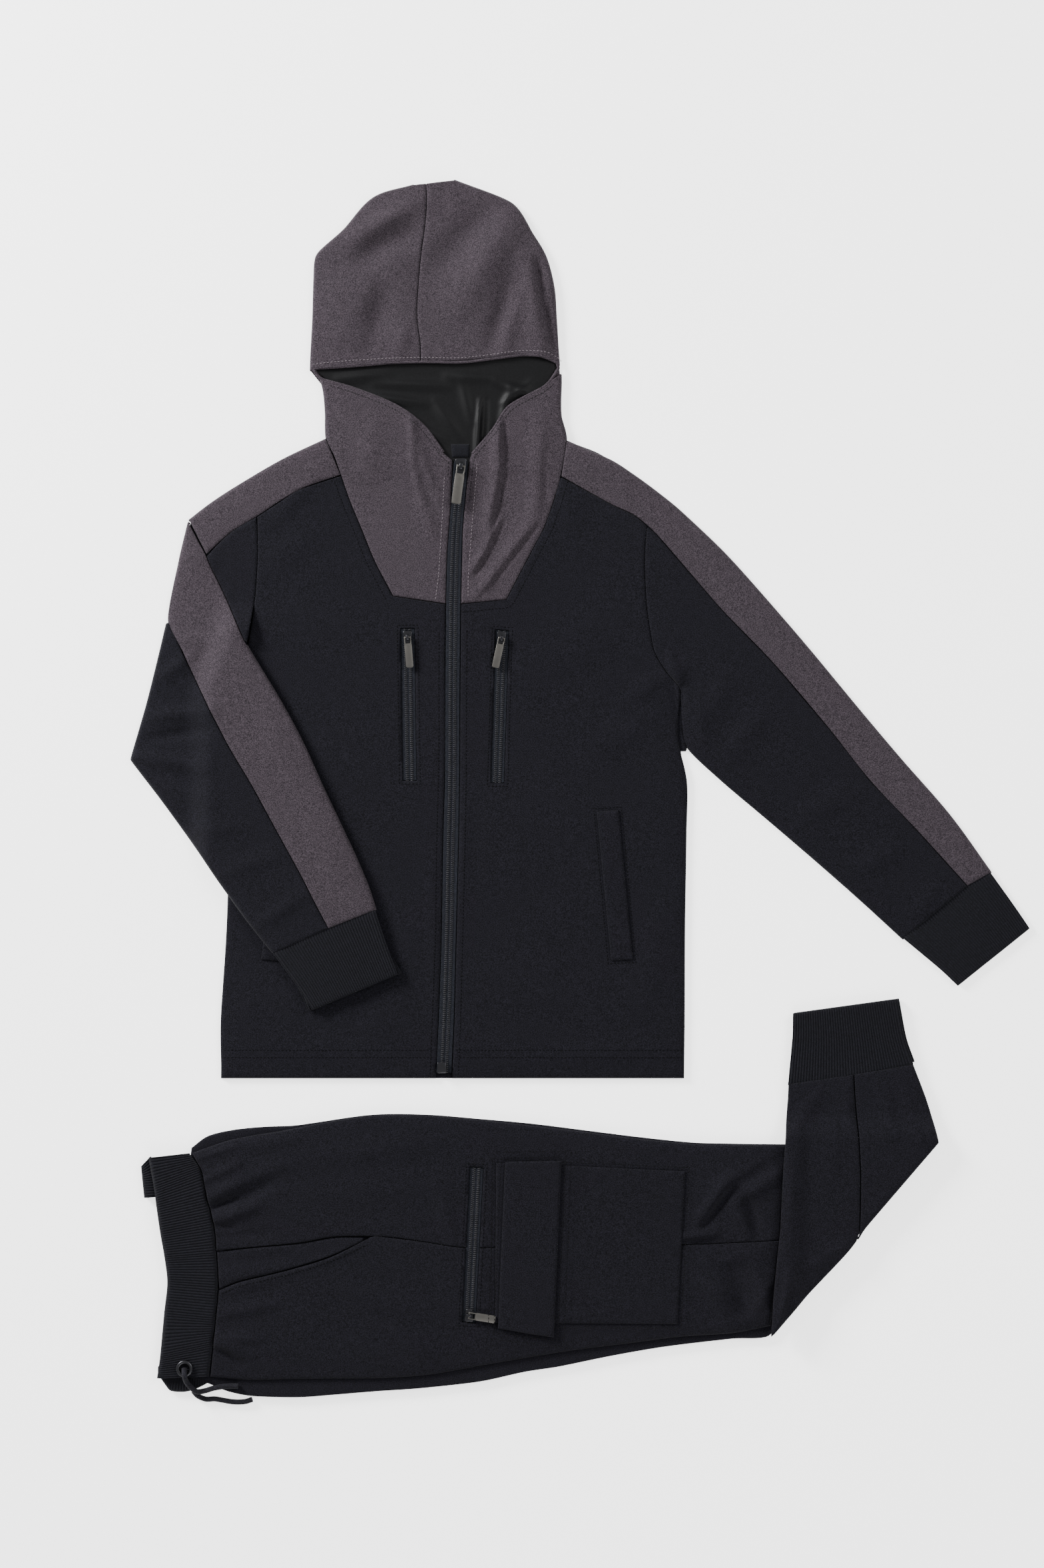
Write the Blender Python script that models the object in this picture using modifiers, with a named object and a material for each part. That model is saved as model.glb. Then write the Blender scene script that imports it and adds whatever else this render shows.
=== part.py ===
"""A child's tracksuit laid flat: a hooded full-zip jacket above folded ribbed-cuff joggers."""

import math

import bmesh
import bpy
from mathutils import Matrix, Vector

# Driving dimensions, in millimetres
WALL = 1.6
SEAM_GAP = 0.3
LIFT = 3.4
RIB_WALL = 2.0
RIB_RISE = 0.7
ZIP_WALL = 1.2
PATCH_WALL = 1.5
CORD_DIAMETER = 3.6
EYELET_OUTER = 13.5
EYELET_HOLE = 8.0
RIB_PITCH = 2.2
LAYER_GROOVE = 1.6
PATCH_GAP = 0.35
SLIDER_GAP = 0.3

# Where each garment's own origin lies: the jacket's at the middle of its hem, the joggers' at the waist
JACKET_AT = (-110.0, -240.5)
JOGGERS_AT = (-342.0, -393.5)

COLOURS = {
    "grey cloth": (0.074, 0.062, 0.066),
    "black cloth": (0.0085, 0.0085, 0.011),
    "black rib": (0.007, 0.007, 0.009),
    "lining": (0.006, 0.006, 0.008),
    "zip tape": (0.009, 0.009, 0.012),
    "gunmetal": (0.10, 0.10, 0.11),
    "cord": (0.006, 0.006, 0.008),
}

# Edges of each cloth piece as rows across it: one side's x and y, then the other side's x and y.
# Neighbours share their seam's points, and each is drawn in by half of SEAM_GAP.
JACKET_PANELS = {
    "jacket_back": (
        (-188, 1, 196, 1), (-187, 60, 196.5, 60), (-183, 130, 197, 130), (-181, 232, 198, 232),
        (-181, 290, 191, 290), (-180.5, 322.5, 192.5, 322.5), (-165.5, 359.5, 170.5, 356), (-158.5, 407, 164, 405),
        (-157.5, 466, 165, 460), (-138, 511, 136, 511), (-100, 530.5, 98, 529.5),
    ),
    "front_left": (
        (3.5, 1, 196, 1), (5.5, 49, 196.5, 49), (7.3, 119.5, 196.8, 119.5), (9, 189, 197.5, 189),
        (10, 245, 198.5, 245), (10.2, 285, 190.5, 285), (10.4, 322.5, 192.5, 322.5), (10.6, 348, 180.5, 338),
        (10.8, 372, 170.5, 356), (11, 393.3, 165, 389), (48.5, 397, 163.8, 405), (59, 417, 163, 424.5),
        (70, 438, 163.6, 442), (80, 457, 165, 457.9), (83.6, 467, 155, 466.5), (87.5, 478, 138, 474.5),
        (90.4, 488, 119.5, 484.5), (93.2, 497.6, 94.6, 498),
    ),
    "front_right": (
        (-187.5, 1, -9.5, 1), (-188, 49, -7.5, 49), (-183.5, 119.5, -5, 119.5), (-181, 189, -4, 189),
        (-181, 245, -2.5, 245), (-181, 285, -2, 285), (-180.5, 322.5, -2, 322.5), (-173, 339.5, -2, 345),
        (-165.5, 359.5, -1.8, 370), (-161.5, 382.5, -1.5, 393.3), (-158.5, 407, -45, 400),
        (-157, 435, -60.5, 429.5), (-157.2, 450, -70.5, 454), (-157.5, 465.5, -77.5, 470.8),
        (-140.2, 476.8, -82, 482.3), (-123, 487.5, -85, 491), (-92.5, 497.9, -88, 499.3),
    ),
    "hood_right": (
        (-45, 400, -1.5, 393.6), (-60.5, 429.5, -0.5, 429.5), (-70.5, 454, 1, 454), (-80.5, 478, 3, 478),
        (-88, 499.5, 4, 499.5), (-93.5, 515, 4, 512), (-100.3, 530.7, -3.5, 519), (-101, 551, -20, 541),
        (-102, 565, -43.5, 558), (-103.5, 574, -77, 571.5), (-105.5, 580.5, -98, 578),
    ),
    "hood_left": (
        (11, 393.6, 48.5, 397), (11.5, 417, 59, 417), (12, 438, 70, 438), (12.5, 457, 80, 457),
        (14.5, 478, 87.5, 478), (16.5, 498.5, 93.5, 498.5), (20, 517.5, 98.3, 529.2), (38, 538, 94, 548.5),
        (50.5, 556.5, 93.5, 562), (77.5, 571.5, 94, 576), (87, 579.5, 93.8, 583.5),
    ),
    "crown_right": (
        (-113.5, 586.5, -22.2, 594), (-113, 600.5, -22.5, 609), (-111.5, 628, -25.2, 631),
        (-110.5, 661, -24.2, 655.5), (-108, 682.5, -21.8, 683), (-86, 703, -18.8, 705),
        (-61.5, 729.5, -17.2, 724.5), (-28.5, 740, -17.6, 741),
    ),
    "crown_left": (
        (-22.2, 594, 92.5, 590.5), (-22.5, 609, 91.5, 603.5), (-25.2, 631, 90, 628), (-24.2, 655.5, 88, 655.5),
        (-21.8, 683, 81.5, 680.5), (-18.8, 705, 70.5, 699.5), (-17.2, 724.5, 53, 725), (-17.6, 741, 6, 744),
    ),
    "hood_back": (
        (-100.3, 531.2, 98.3, 529.8), (-101, 551, 94, 548.5), (-103.5, 574, 94, 576), (-113.5, 586.5, 92.5, 590.5),
        (-111.5, 628, 90, 628), (-110.5, 661, 88, 655.5), (-108, 682.5, 81.5, 680.5), (-86, 703, 70.5, 699.5),
        (-61.5, 729.5, 53, 725), (-28.5, 740, 6, 744),
    ),
    "hood_lining": (
        (-4, 500, 26, 500), (-26, 520, 44, 520), (-60, 548, 62, 548), (-88, 568, 82, 566), (-110.5, 588, 90, 591.5),
        (-110.5, 606, 89.5, 606),
    ),
    "stripe_left": (
        (94, 498.9, 98.3, 528.6), (119.5, 484.5, 135, 512.5), (138, 474.5, 153, 501), (155, 466.5, 171, 488),
        (172.5, 451.5, 191.5, 471.5), (202, 417.5, 226.5, 438.5), (228.5, 387, 254.5, 408),
        (270, 344, 296.5, 359.5), (315.5, 290.5, 340, 307), (350, 247, 375.5, 265), (391, 203.5, 416, 218.5),
        (430, 160.5, 450, 171.5),
    ),
    "shoulder_right": (
        (-100.3, 530.2, -88.3, 500.2), (-137.5, 512.5, -123, 487.5), (-176, 490, -157.5, 466),
        (-196.5, 476.5, -179.5, 452.5), (-214, 463, -199.5, 434.5),
    ),
    "sleeve_left_front": (
        (164.9, 456.5, 165.9, 457), (163.6, 442, 172.5, 451.5), (163, 424.5, 187.25, 434.5), (163.8, 405, 202, 417.5),
        (165, 389, 228.5, 387), (170.5, 356, 249.25, 365.5), (180.5, 338, 270, 344), (192.5, 322.5, 292.75, 317.25),
        (193.5, 301, 315.5, 290.5), (198, 276, 332.75, 268.75), (226, 248.5, 350, 247), (265, 215.5, 370.5, 225.25),
        (303.5, 182.5, 391, 203.5), (341, 149.5, 410.5, 182), (377, 116.5, 430, 160.5),
    ),
    "sleeve_left_back": (
        (167, 460, 183, 478), (165.6, 424.5, 213, 451), (172.8, 358, 254, 408), (194, 325, 297, 359),
        (199, 277, 340, 306.5), (265, 216.5, 375, 264.5), (341, 150.5, 416, 218), (378, 117.5, 449.5, 171.3),
    ),
    "sleeve_right_front": (
        (-199.3, 433, -158, 465.5), (-196, 424.5, -157.2, 450), (-191.2, 415, -157, 435), (-186.5, 405.5, -158.5, 407),
        (-176, 382.5, -161.5, 382.5), (-167.2, 363.3, -165.2, 361.5),
    ),
    "stripe_right": (
        (-214.5, 461.5, -200, 434), (-222, 430, -196, 424.5), (-231, 380.5, -186.5, 405.5), (-219.8, 355.8, -176, 382.5),
        (-208.5, 331, -165.5, 359.5),
        (-181.5, 278, -139, 315.5), (-161.5, 244, -120, 280.5), (-144, 212, -102.5, 242), (-121, 170, -77.5, 189),
        (-109, 146.5, -65.5, 161), (-98, 125.5, -59, 141),
    ),
    "sleeve_right_back": (
        (-232.5, 377, -230.7, 378.5), (-248, 314, -208.5, 331), (-262, 265, -181.5, 278), (-237, 232, -161.5, 244),
        (-213, 199, -144, 212), (-187, 162.5, -121, 170), (-165, 132, -109, 146.5), (-143.5, 105, -98, 125.5),
    ),
    "sleeve_right_under": (
        (-213, 461, -160.5, 464.5), (-221, 429, -160, 436), (-230, 380.5, -165.5, 385), (-240, 345, -169, 362),
        (-247, 314, -160, 350),
        (-261, 265, -141, 315), (-236, 232, -122, 280), (-212, 199, -104, 241.5), (-186, 162.5, -79, 188.5),
        (-164, 132, -67, 160.5), (-143, 106, -60.5, 140.5),
    ),
}

JOGGERS_PANELS = {
    "leg_back": (
        (29.5, 78.5, 21, 93.3), (34, 55, 49, 103), (39.5, 33, 70, 107.5), (41.3, 12.3, 95, 111.5),
        (71, 15.5, 126.5, 117.5), (110, 19, 150, 121.5), (139.5, 24, 170.5, 124), (179, 24, 192, 124.3),
        (208.5, 20.5, 214.5, 124), (247.5, 15, 258.5, 120.5), (330, 16, 330, 112.5),
        (385, 16.5, 385, 105.5), (425.5, 17.5, 430, 101), (466, 19, 466, 100), (507, 21, 512, 99.5),
    ),
    "leg_front": (
        (36, -92, 43.3, -20), (67, -94.5, 61, -13), (100, -94, 100, -3.5), (136, -93.5, 135.5, 7.5),
        (155, -93.5, 169, 24), (182, -93, 179, 24), (219, -90, 208.5, 20.5), (258.5, -83, 247.5, 15),
        (327, -71.5, 330, 16), (385, -64, 385, 16.5), (424, -59, 425.5, 17.5), (467.5, -56, 466, 19),
        (499, -50, 507, 21),
    ),
    "hip_pocket": (
        (43.5, -19.4, 41.5, 11.6), (61, -12.5, 71, 15), (100, -3, 110, 18.5), (135.5, 8, 139.5, 23.5),
        (162, 20.2, 163, 23.2),
    ),
    "shin_back": (
        (498.5, -57.5, 502, -54.5), (500.3, -25.5, 527.5, -25.5), (503, 3, 554, 2.5), (505, 22, 569.5, 21),
        (506, 31.5, 571.8, 31.5), (508, 73.5, 572.5, 73.5), (510, 102, 571.2, 102), (511, 115.5, 570.3, 115.5),
        (513, 137.5, 568.5, 137.5), (513.5, 150, 567.5, 158),
    ),
    "shin_front": (
        (570.2, 21.6, 571.4, 22.8), (572.2, 31.5, 577, 31.5), (572.9, 73.5, 613, 73.5), (571.6, 102, 637.5, 102),
        (570.7, 115.5, 634.5, 115.5), (568.9, 137.5, 628, 137.5), (567.9, 158, 617, 166.5),
    ),
}

# Cuffs and waistband: rows across the ribbed piece from its seam to its free edge
RIBBED = {
    "cuff_left": ((377.5, 116.6, 450, 170.6), (407, 92, 469, 144), (422.5, 77.5, 482, 125)),
    "cuff_right": ((-143.3, 104.6, -59.2, 140.1), (-124.5, 79, -49.5, 111), (-111, 58, -40.5, 87.5)),
    "ankle_cuff": ((513.5, 150.6, 616.8, 167.2), (517, 188.5, 609.5, 188.5), (517.5, 208.5, 603.5, 220.5)),
    "waistband": (
        (-8, -93, 34.9, -91.5), (-5.5, -76, 37.8, -67), (-2, -38.5, 40.3, -42.5), (0.5, -14, 42.2, -17),
        (-2, 8, 40.7, 11.5), (-5, 25, 38.6, 33), (-8, 45, 33, 55), (-10.5, 64, 28.3, 78.3), (-15, 89, 19, 92.5),
    ),
}

# The silhouettes that each layer rounds down to: piece, side of its rows, first row, last row
JACKET_SHORES = (
    ("jacket_back", "a", 0, 5), ("jacket_back", "b", 0, 5), ("sleeve_left_back", "a", 3, 7),
    ("stripe_left", "b", 0, 11), ("shoulder_right", "a", 0, 4), ("hood_back", "a", 0, 9),
    ("hood_back", "b", 0, 9),
)
SLEEVE_SHORES = (
    ("sleeve_right_back", "a", 0, 7), ("stripe_right", "a", 0, 2), ("stripe_right", "b", 4, 10),
    ("shoulder_right", "a", 0, 4),
)
JOGGERS_SHORES = (("leg_back", "b", 0, 14), ("leg_front", "a", 0, 12))
SHIN_SHORES = (("shin_back", "a", 0, 9), ("shin_front", "b", 0, 6), ("shin_back", "b", 0, 2))

# Soft folds: garment, start x and y, end x and y, half width, rise (a trough is negative)
FOLDS = (
    ("jacket", 42, 540, 40, 491, 9, 1.5), ("jacket", 40, 491, 33, 452, 7, 1.2),
    ("jacket", 42, 463, 22, 422, 6, 1.0), ("jacket", 76, 531, 71, 464, 10, 0.9),
    ("jacket", 71, 464, 28, 407, 9, 1.0), ("jacket", -31, 550, -27, 512, 7, 1.3),
    ("jacket", -27, 512, -11, 454, 8, 1.0), ("jacket", 75, 675, 91, 598, 7, -1.3),
    ("jacket", 182, 345, 205, 300, 9, 1.4), ("jacket", 150, 330, 110, 300, 14, 0.8),
    ("jacket", 300, 250, 250, 290, 12, 0.9), ("jacket", 120, 150, 150, 60, 18, 0.7),
    ("jacket", -120, 40, -60, 30, 14, 0.6), ("jacket", -150, 400, -100, 440, 13, 0.6),
    ("sleeve", -235, 270, -190, 262, 9, 1.4), ("sleeve", -228, 300, -180, 318, 8, -1.0),
    ("sleeve", -170, 180, -130, 205, 10, 0.8), ("sleeve", -215, 420, -190, 455, 9, 0.7),
    ("joggers", 36, 45, 75, 57, 5, 1.3), ("joggers", 44, -70, 60, -82, 5, 1.2),
    ("joggers", 40, 25, 80, 34, 5, 0.9), ("joggers", 44, -45, 90, -38, 6, 0.9),
    ("joggers", 185, -53, 218, -79, 9, 1.0), ("joggers", 427, 24, 453, 27, 6, 1.2),
    ("joggers", 445, 32, 468, 62, 7, 1.3), ("joggers", 430, -10, 480, -30, 10, 1.0),
    ("joggers", 120, 90, 220, 100, 9, 0.8), ("shin", 512, -20, 520, 60, 6, 0.9),
    ("shin", 560, 140, 600, 120, 8, 0.8), ("shin", 580, 60, 620, 90, 9, 0.7),
)

COLUMNS = {
    "jacket_back": 6, "front_left": 8, "front_right": 8, "hood_right": 8, "hood_left": 8, "crown_right": 7,
    "crown_left": 8, "hood_back": 5, "hood_lining": 4, "stripe_left": 3, "shoulder_right": 3, "stripe_right": 8,
    "sleeve_left_front": 5, "sleeve_left_back": 5, "sleeve_right_front": 3, "sleeve_right_back": 8,
    "sleeve_right_under": 12, "leg_back": 7, "leg_front": 7, "hip_pocket": 3, "shin_back": 6, "shin_front": 5,
}

# Heights of the layers, from the surface up
BACK_TOP = WALL
FRONT_TOP = BACK_TOP + SEAM_GAP + WALL
LINING_RISE = ZIP_WALL + SEAM_GAP
COVER = FRONT_TOP + LIFT + PATCH_WALL + 0.8
STEP_SPREAD = 7.0
LEG_CORE = 6.0
SHIN_CORE = 4.6
SHIN_GAP = 0.9
LEG_TOP = LEG_CORE + SEAM_GAP + WALL
LEG_LIFT = 2.6


def smooth(value, low, high):
    t = min(max((value - low) / (high - low), 0.0), 1.0)
    return t * t * (3 - 2 * t)


def nearest(x, y, line):
    """Distance from a point to a polyline, and how far along its nearest stretch the point lies."""
    best = (1e9, 0.0)
    for (ax, ay), (bx, by) in zip(line, line[1:]):
        dx, dy = bx - ax, by - ay
        t = min(max(((x - ax) * dx + (y - ay) * dy) / (dx * dx + dy * dy + 1e-9), 0.0), 1.0)
        away = math.hypot(x - ax - t * dx, y - ay - t * dy)
        if away < best[0]:
            best = (away, t)
    return best


def side(rows, which, first, last):
    return [row[:2] if which == "a" else row[2:] for row in rows[first:last + 1]]


def shoreLines(shores):
    tables = {**JACKET_PANELS, **JOGGERS_PANELS}
    return [side(tables[name], which, first, last) for name, which, first, last in shores]


SHORES = {
    "jacket": shoreLines(JACKET_SHORES) + [[(-188, 1), (196, 1)]],
    "sleeve": shoreLines(SLEEVE_SHORES),
    "joggers": shoreLines(JOGGERS_SHORES),
    "shin": shoreLines(SHIN_SHORES),
}


def rounded(x, y, layer, radius):
    """0 at the layer's silhouette, rising as a quarter circle to 1."""
    away = min(nearest(x, y, line)[0] for line in SHORES[layer])
    t = min(away / radius, 1.0)
    return math.sqrt(1 - (1 - t) ** 2)


def folds(x, y, layer):
    rise = 0.0
    for name, ax, ay, bx, by, width, height in FOLDS:
        if name == layer:
            away, t = nearest(x, y, [(ax, ay), (bx, by)])
            fade = 0.35 + 0.65 * math.sin(math.pi * min(max(t, 0.08), 0.92))
            rise += height * fade * math.exp(-(away / width) ** 2)
    return rise


def jacketTop(x, y):
    lift = rounded(x, y, "jacket", 26)
    hood = smooth(y, 488, 512)
    return FRONT_TOP + LINING_RISE * hood + (LIFT - 1.4 + folds(x, y, "jacket")) * lift


def bodySide(y):
    """The jacket's own right edge, from hem to armpit and up the armhole."""
    line = side(JACKET_PANELS["jacket_back"], "a", 0, 8)
    for (ax, ay), (bx, by) in zip(line, line[1:]):
        if ay <= y <= by:
            return ax + (bx - ax) * (y - ay) / (by - ay)
    return line[0][0] if y < line[0][1] else line[-1][0]


def cover(x, y, spread=0):
    """How high the folded sleeve rides: nothing on the surface, COVER where it lies on the front."""
    beside = smooth(bodySide(y) - x, 5 + spread, 22 + 2 * spread)
    return COVER * (1 - beside) * (1 - smooth(y, 362 + spread, 383 + 2 * spread))


def sleeveTop(x, y):
    lift = rounded(x, y, "sleeve", 20)
    return cover(x, y, STEP_SPREAD) + FRONT_TOP + (LIFT - 1.4 + folds(x, y, "sleeve")) * lift


def joggersTop(x, y):
    return LEG_TOP + (LEG_LIFT - 1.0 + folds(x, y, "joggers")) * rounded(x, y, "joggers", 22)


def shinBase(x, y):
    """The folded legs ride on the thighs, and reach the surface beyond them."""
    onThigh = LEG_CORE + SEAM_GAP + (WALL + 2.4) * (1 - smooth(x, 516, 532))
    return onThigh * (1 - smooth(y, 104, 128))


def shinTop(x, y):
    lift = rounded(x, y, "shin", 18)
    return shinBase(x, y) + SHIN_CORE + SHIN_GAP + WALL + (1.4 + folds(x, y, "shin")) * lift


TOPS = {
    "jacket_back": lambda x, y: BACK_TOP,
    "hood_back": lambda x, y: BACK_TOP,
    "hood_lining": lambda x, y: BACK_TOP + LINING_RISE,
    "sleeve_left_back": lambda x, y: BACK_TOP,
    "sleeve_right_under": lambda x, y: cover(x, y) + WALL,
    "sleeve_right_front": sleeveTop,
    "sleeve_right_back": sleeveTop,
    "stripe_right": sleeveTop,
    "leg_back": joggersTop,
    "leg_front": joggersTop,
    "hip_pocket": lambda x, y: joggersTop(x, y) - 0.6,
    "shin_back": shinTop,
    "shin_front": shinTop,
}
GREY = ("hood_right", "hood_left", "crown_right", "crown_left", "hood_back", "stripe_left", "shoulder_right",
        "stripe_right")


def material(name):
    made = bpy.data.materials.get(name)
    if made:
        return made
    made = bpy.data.materials.new(name)
    made.use_nodes = True
    shader = made.node_tree.nodes["Principled BSDF"]
    shader.inputs["Base Color"].default_value = (*COLOURS[name.split(" (")[0]], 1)
    metal = name.startswith("gunmetal")
    shader.inputs["Metallic"].default_value = 0.9 if metal else 0.0
    shader.inputs["Roughness"].default_value = 0.4 if metal else 0.85
    return made


def addObject(name, mesh, colour, at=(0, 0)):
    """Link a mesh given in millimetres, moved to its garment's place, and turn it to metres."""
    for vertex in mesh.vertices:
        vertex.co = Vector((vertex.co.x + at[0], vertex.co.y + at[1], vertex.co.z)) * 0.001
    made = bpy.data.objects.new(name, mesh)
    made.data.materials.append(material(f"{colour} ({name})"))
    parts.objects.link(made)
    return made


def drawIn(bm, amount):
    """Move the open edges inwards in plan, so that neighbours stay apart along a seam."""
    inward = {}
    for edge in bm.edges:
        if len(edge.link_faces) == 1:
            start, end = (v.co for v in edge.verts)
            normal = Vector((start.y - end.y, end.x - start.x, 0))
            if normal.length < 1e-6:
                continue
            normal.normalize()
            middle = (start + end) / 2
            if normal.dot(edge.link_faces[0].calc_center_median() - middle) < 0:
                normal = -normal
            for vertex in edge.verts:
                inward[vertex] = inward.get(vertex, Vector()) + normal
    for vertex, normal in inward.items():
        if normal.length > 1e-6:
            vertex.co += normal.normalized() * amount


def gridBetween(rows, columns, top):
    """An open sheet ruled between the two sides of its rows, raised to its layer's top."""
    bm = bmesh.new()
    bmesh.ops.create_grid(bm, x_segments=columns, y_segments=len(rows) - 1, size=0.5)
    for vertex in bm.verts:
        ax, ay, bx, by = rows[round((vertex.co.y + 0.5) * (len(rows) - 1))]
        u = vertex.co.x + 0.5
        vertex.co = (ax + (bx - ax) * u, ay + (by - ay) * u, 0)
    bm.normal_update()
    if sum(face.normal.z for face in bm.faces) < 0:
        bmesh.ops.reverse_faces(bm, faces=bm.faces)
    drawIn(bm, SEAM_GAP / 2 + 0.05)
    for vertex in bm.verts:
        vertex.co.z = top(vertex.co.x, vertex.co.y)
    return bm


def thicken(made, wall):
    solidify = made.modifiers.new("wall", "SOLIDIFY")
    solidify.thickness = wall * 0.001
    solidify.offset = -1
    solidify.use_even_offset = False
    return made


def cutWindow(bm, corners):
    """Open a four-cornered window, its corners in order, in a sheet."""
    centre = sum((Vector((x, y, 0)) for x, y in corners), Vector()) / 4
    reach = max(math.hypot(x - centre.x, y - centre.y) for x, y in corners) + 45
    planes = []
    for (ax, ay), (bx, by) in zip(corners, corners[1:] + corners[:1]):
        normal = Vector((by - ay, ax - bx, 0)).normalized()
        start = Vector((ax, ay, 0))
        if normal.dot(centre - start) > 0:
            normal = -normal
        planes.append((start, normal))
    for start, normal in planes:
        near = [f for f in bm.faces if (f.calc_center_median().xy - centre.xy).length < reach]
        geometry = near + list({e for f in near for e in f.edges}) + list({v for f in near for v in f.verts})
        bmesh.ops.bisect_plane(bm, geom=geometry, plane_co=start, plane_no=normal, dist=0.02)
    inside = [f for f in bm.faces
              if all(n.dot(f.calc_center_median() * Vector((1, 1, 0)) - s) < 0 for s, n in planes)]
    bmesh.ops.delete(bm, geom=inside, context="FACES")


def toMesh(name, bm):
    mesh = bpy.data.meshes.new(name)
    bmesh.ops.triangulate(bm, faces=[f for f in bm.faces if len(f.verts) > 4])
    bm.to_mesh(mesh)
    bm.free()
    return mesh

# Zips: each window's corners, its tape, and its slider's place, in the garment's own frame
CHEST_WINDOWS = {
    "chest_zip_right": ((-39, 373.5), (-27, 373.5), (-25.2, 247.5), (-37.2, 247.5)),
    "chest_zip_left": ((39.5, 372.5), (51, 371.5), (47, 245.5), (35.5, 245.5)),
}
THIGH_WINDOW = ((250.5, 82), (262, 81), (255.5, -47.5), (244, -46.5))
MAIN_ZIP = (
    # right edge x and y, left edge x and y, from the hem to the neck
    (-9.3, 6, 3.3, 6), (-7.3, 49, 5.3, 49), (-4.8, 119.5, 7.1, 119.5), (-3.8, 189, 8.8, 189),
    (-2.2, 250, 9.9, 250), (-1.8, 330, 10.2, 330), (-1.2, 393.5, 10.8, 393.5), (-0.3, 429.5, 11.7, 429.5),
    (1.2, 454, 12.3, 454), (3.2, 478, 14.3, 478), (4.2, 499, 16.3, 499), (5.5, 512, 16.8, 512),
)
WELTS = {
    "welt_left": ((123, 222, 141.5, 223.5), (129, 160, 147.5, 161), (135, 98.5, 153.5, 99.5)),
    "welt_right": ((-138.5, 223, -119.5, 221.5), (-146, 160, -127, 160), (-154.5, 99.5, -136, 98)),
}
CARGO_POCKET = ((272, 85.5, 271, -47), (327, 83.5, 325.5, -47.5), (375, 81, 374, -47.8), (428.5, 78.5, 422, -48))
CARGO_FLAP = (
    (273.5, -51, 279.5, 86.5), (285, -53, 287, 86.8), (296, -55, 300, 87), (309, -57, 313, 87.2),
    (320, -58.5, 326.5, 87.5),
)
WAISTBAND_FAR = ((-21.5, 81, -13.5, 89.5), (-20.5, 70, -9.5, 71.5), (-19, 55.5, -7.5, 56.5))
LEG_HIDDEN = (
    # lower x and y, upper x and y, from the waistband to the diagonal fold
    (-6, -92, 18, 93), (5, -107, 24, 99), (23, -104, 32, 104), (36, -94, 45, 108), (61, -96, 66, 112),
    (71, -109, 80, 114.5), (107.5, -110, 104.5, 115.5),
    (136.5, -108, 126.5, 118.5), (173, -105, 170.5, 124.5), (209.5, -102.5, 214.5, 124.5),
    (258.5, -97, 258.5, 121), (295.5, -89, 302.5, 117), (324.5, -84.5, 346.5, 111.5), (368.5, -75.5, 390.5, 106),
    (412.5, -68, 434.5, 101.5), (467.5, -61.5, 470, 100.5), (498, -59, 512, 100), (539, -13, 540, 100),
    (579, 32.5, 575, 100), (633, 97, 632, 100),
)
SHIN_HIDDEN = (
    (499, -56.5, 501.5, -53.5), (501.5, -25, 526.5, -25), (504.5, 3, 553, 3), (507, 31.5, 576, 31.5),
    (509, 73.5, 612, 73.5), (511.5, 102, 636.5, 102), (512.5, 115.5, 633.5, 115.5), (514.5, 137.5, 627, 137.5),
    (514.5, 150.3, 617.5, 166.4),
)
EYELET_AT = (15.0, -84.5)
DRAWSTRING_NEAR = ((15, -84.2), (15.6, -89.8), (16.5, -94.5), (19.5, -99), (25, -103.8), (32, -103.5), (39, -101),
                   (48, -99.6), (59, -99.3))
DRAWSTRING_FAR = ((19.5, -107.2), (25, -109.2), (32, -111.4), (39, -111), (45.5, -112), (55, -113.5), (64, -113.3),
                  (70.4, -111.4))


def buildCloth(panels, at):
    for name, rows in panels.items():
        top = TOPS.get(name, jacketTop)
        bm = gridBetween(rows, COLUMNS[name], top)
        for window, corners, panel in (
            ("chest_zip_right", CHEST_WINDOWS["chest_zip_right"], "front_right"),
            ("chest_zip_left", CHEST_WINDOWS["chest_zip_left"], "front_left"),
            ("thigh_zip", THIGH_WINDOW, "leg_back"),
            ("thigh_zip", THIGH_WINDOW, "leg_front"),
        ):
            if panel == name:
                cutWindow(bm, corners)
        colour = "grey cloth" if name in GREY else "lining" if name == "hood_lining" else "black cloth"
        wall = ZIP_WALL if name == "hood_lining" else WALL
        thicken(addObject(name, toMesh(name, bm), colour, at), wall)


def stack(name, rows, columns, bottom, top, colour, at, layers=1, ribs=0):
    """A closed piece between two heights. Its rim shows its layers, and its top may carry ribs."""
    bm = bmesh.new()
    last = len(rows) - 1
    flat = gridBetween(rows, columns, lambda x, y: 0)
    flat.verts.ensure_lookup_table()
    places = [v.co.copy() for v in flat.verts]
    faces = [[v.index for v in f.verts] for f in flat.faces]
    rim = orderedRim(flat)
    outward = rimNormals(rim, places)
    flat.free()
    wave = ribWave(columns, last, ribs)
    upper = [bm.verts.new((p.x, p.y, top(p.x, p.y) + wave[i])) for i, p in enumerate(places)]
    lower = [bm.verts.new((p.x, p.y, bottom(p.x, p.y))) for p in places]
    for face in faces:
        bm.faces.new([upper[i] for i in face])
        bm.faces.new([lower[i] for i in reversed(face)])
    rings = [[lower[i] for i in rim]]
    for level in range(1, layers):
        for inset, part in ((0.0, -0.22), (LAYER_GROOVE, 0.0), (0.0, 0.22)):
            share = (level + part) / layers
            ring = []
            for index, normal in zip(rim, outward):
                p = places[index]
                low, high = bottom(p.x, p.y), top(p.x, p.y)
                ring.append(bm.verts.new((p.x - normal.x * inset, p.y - normal.y * inset, low + (high - low) * share)))
            rings.append(ring)
    rings.append([upper[i] for i in rim])
    for ring, above in zip(rings, rings[1:]):
        for i in range(len(ring)):
            j = (i + 1) % len(ring)
            bm.faces.new((ring[i], ring[j], above[j], above[i]))
    bmesh.ops.recalc_face_normals(bm, faces=bm.faces)
    return addObject(name, toMesh(name, bm), colour, at)


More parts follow.
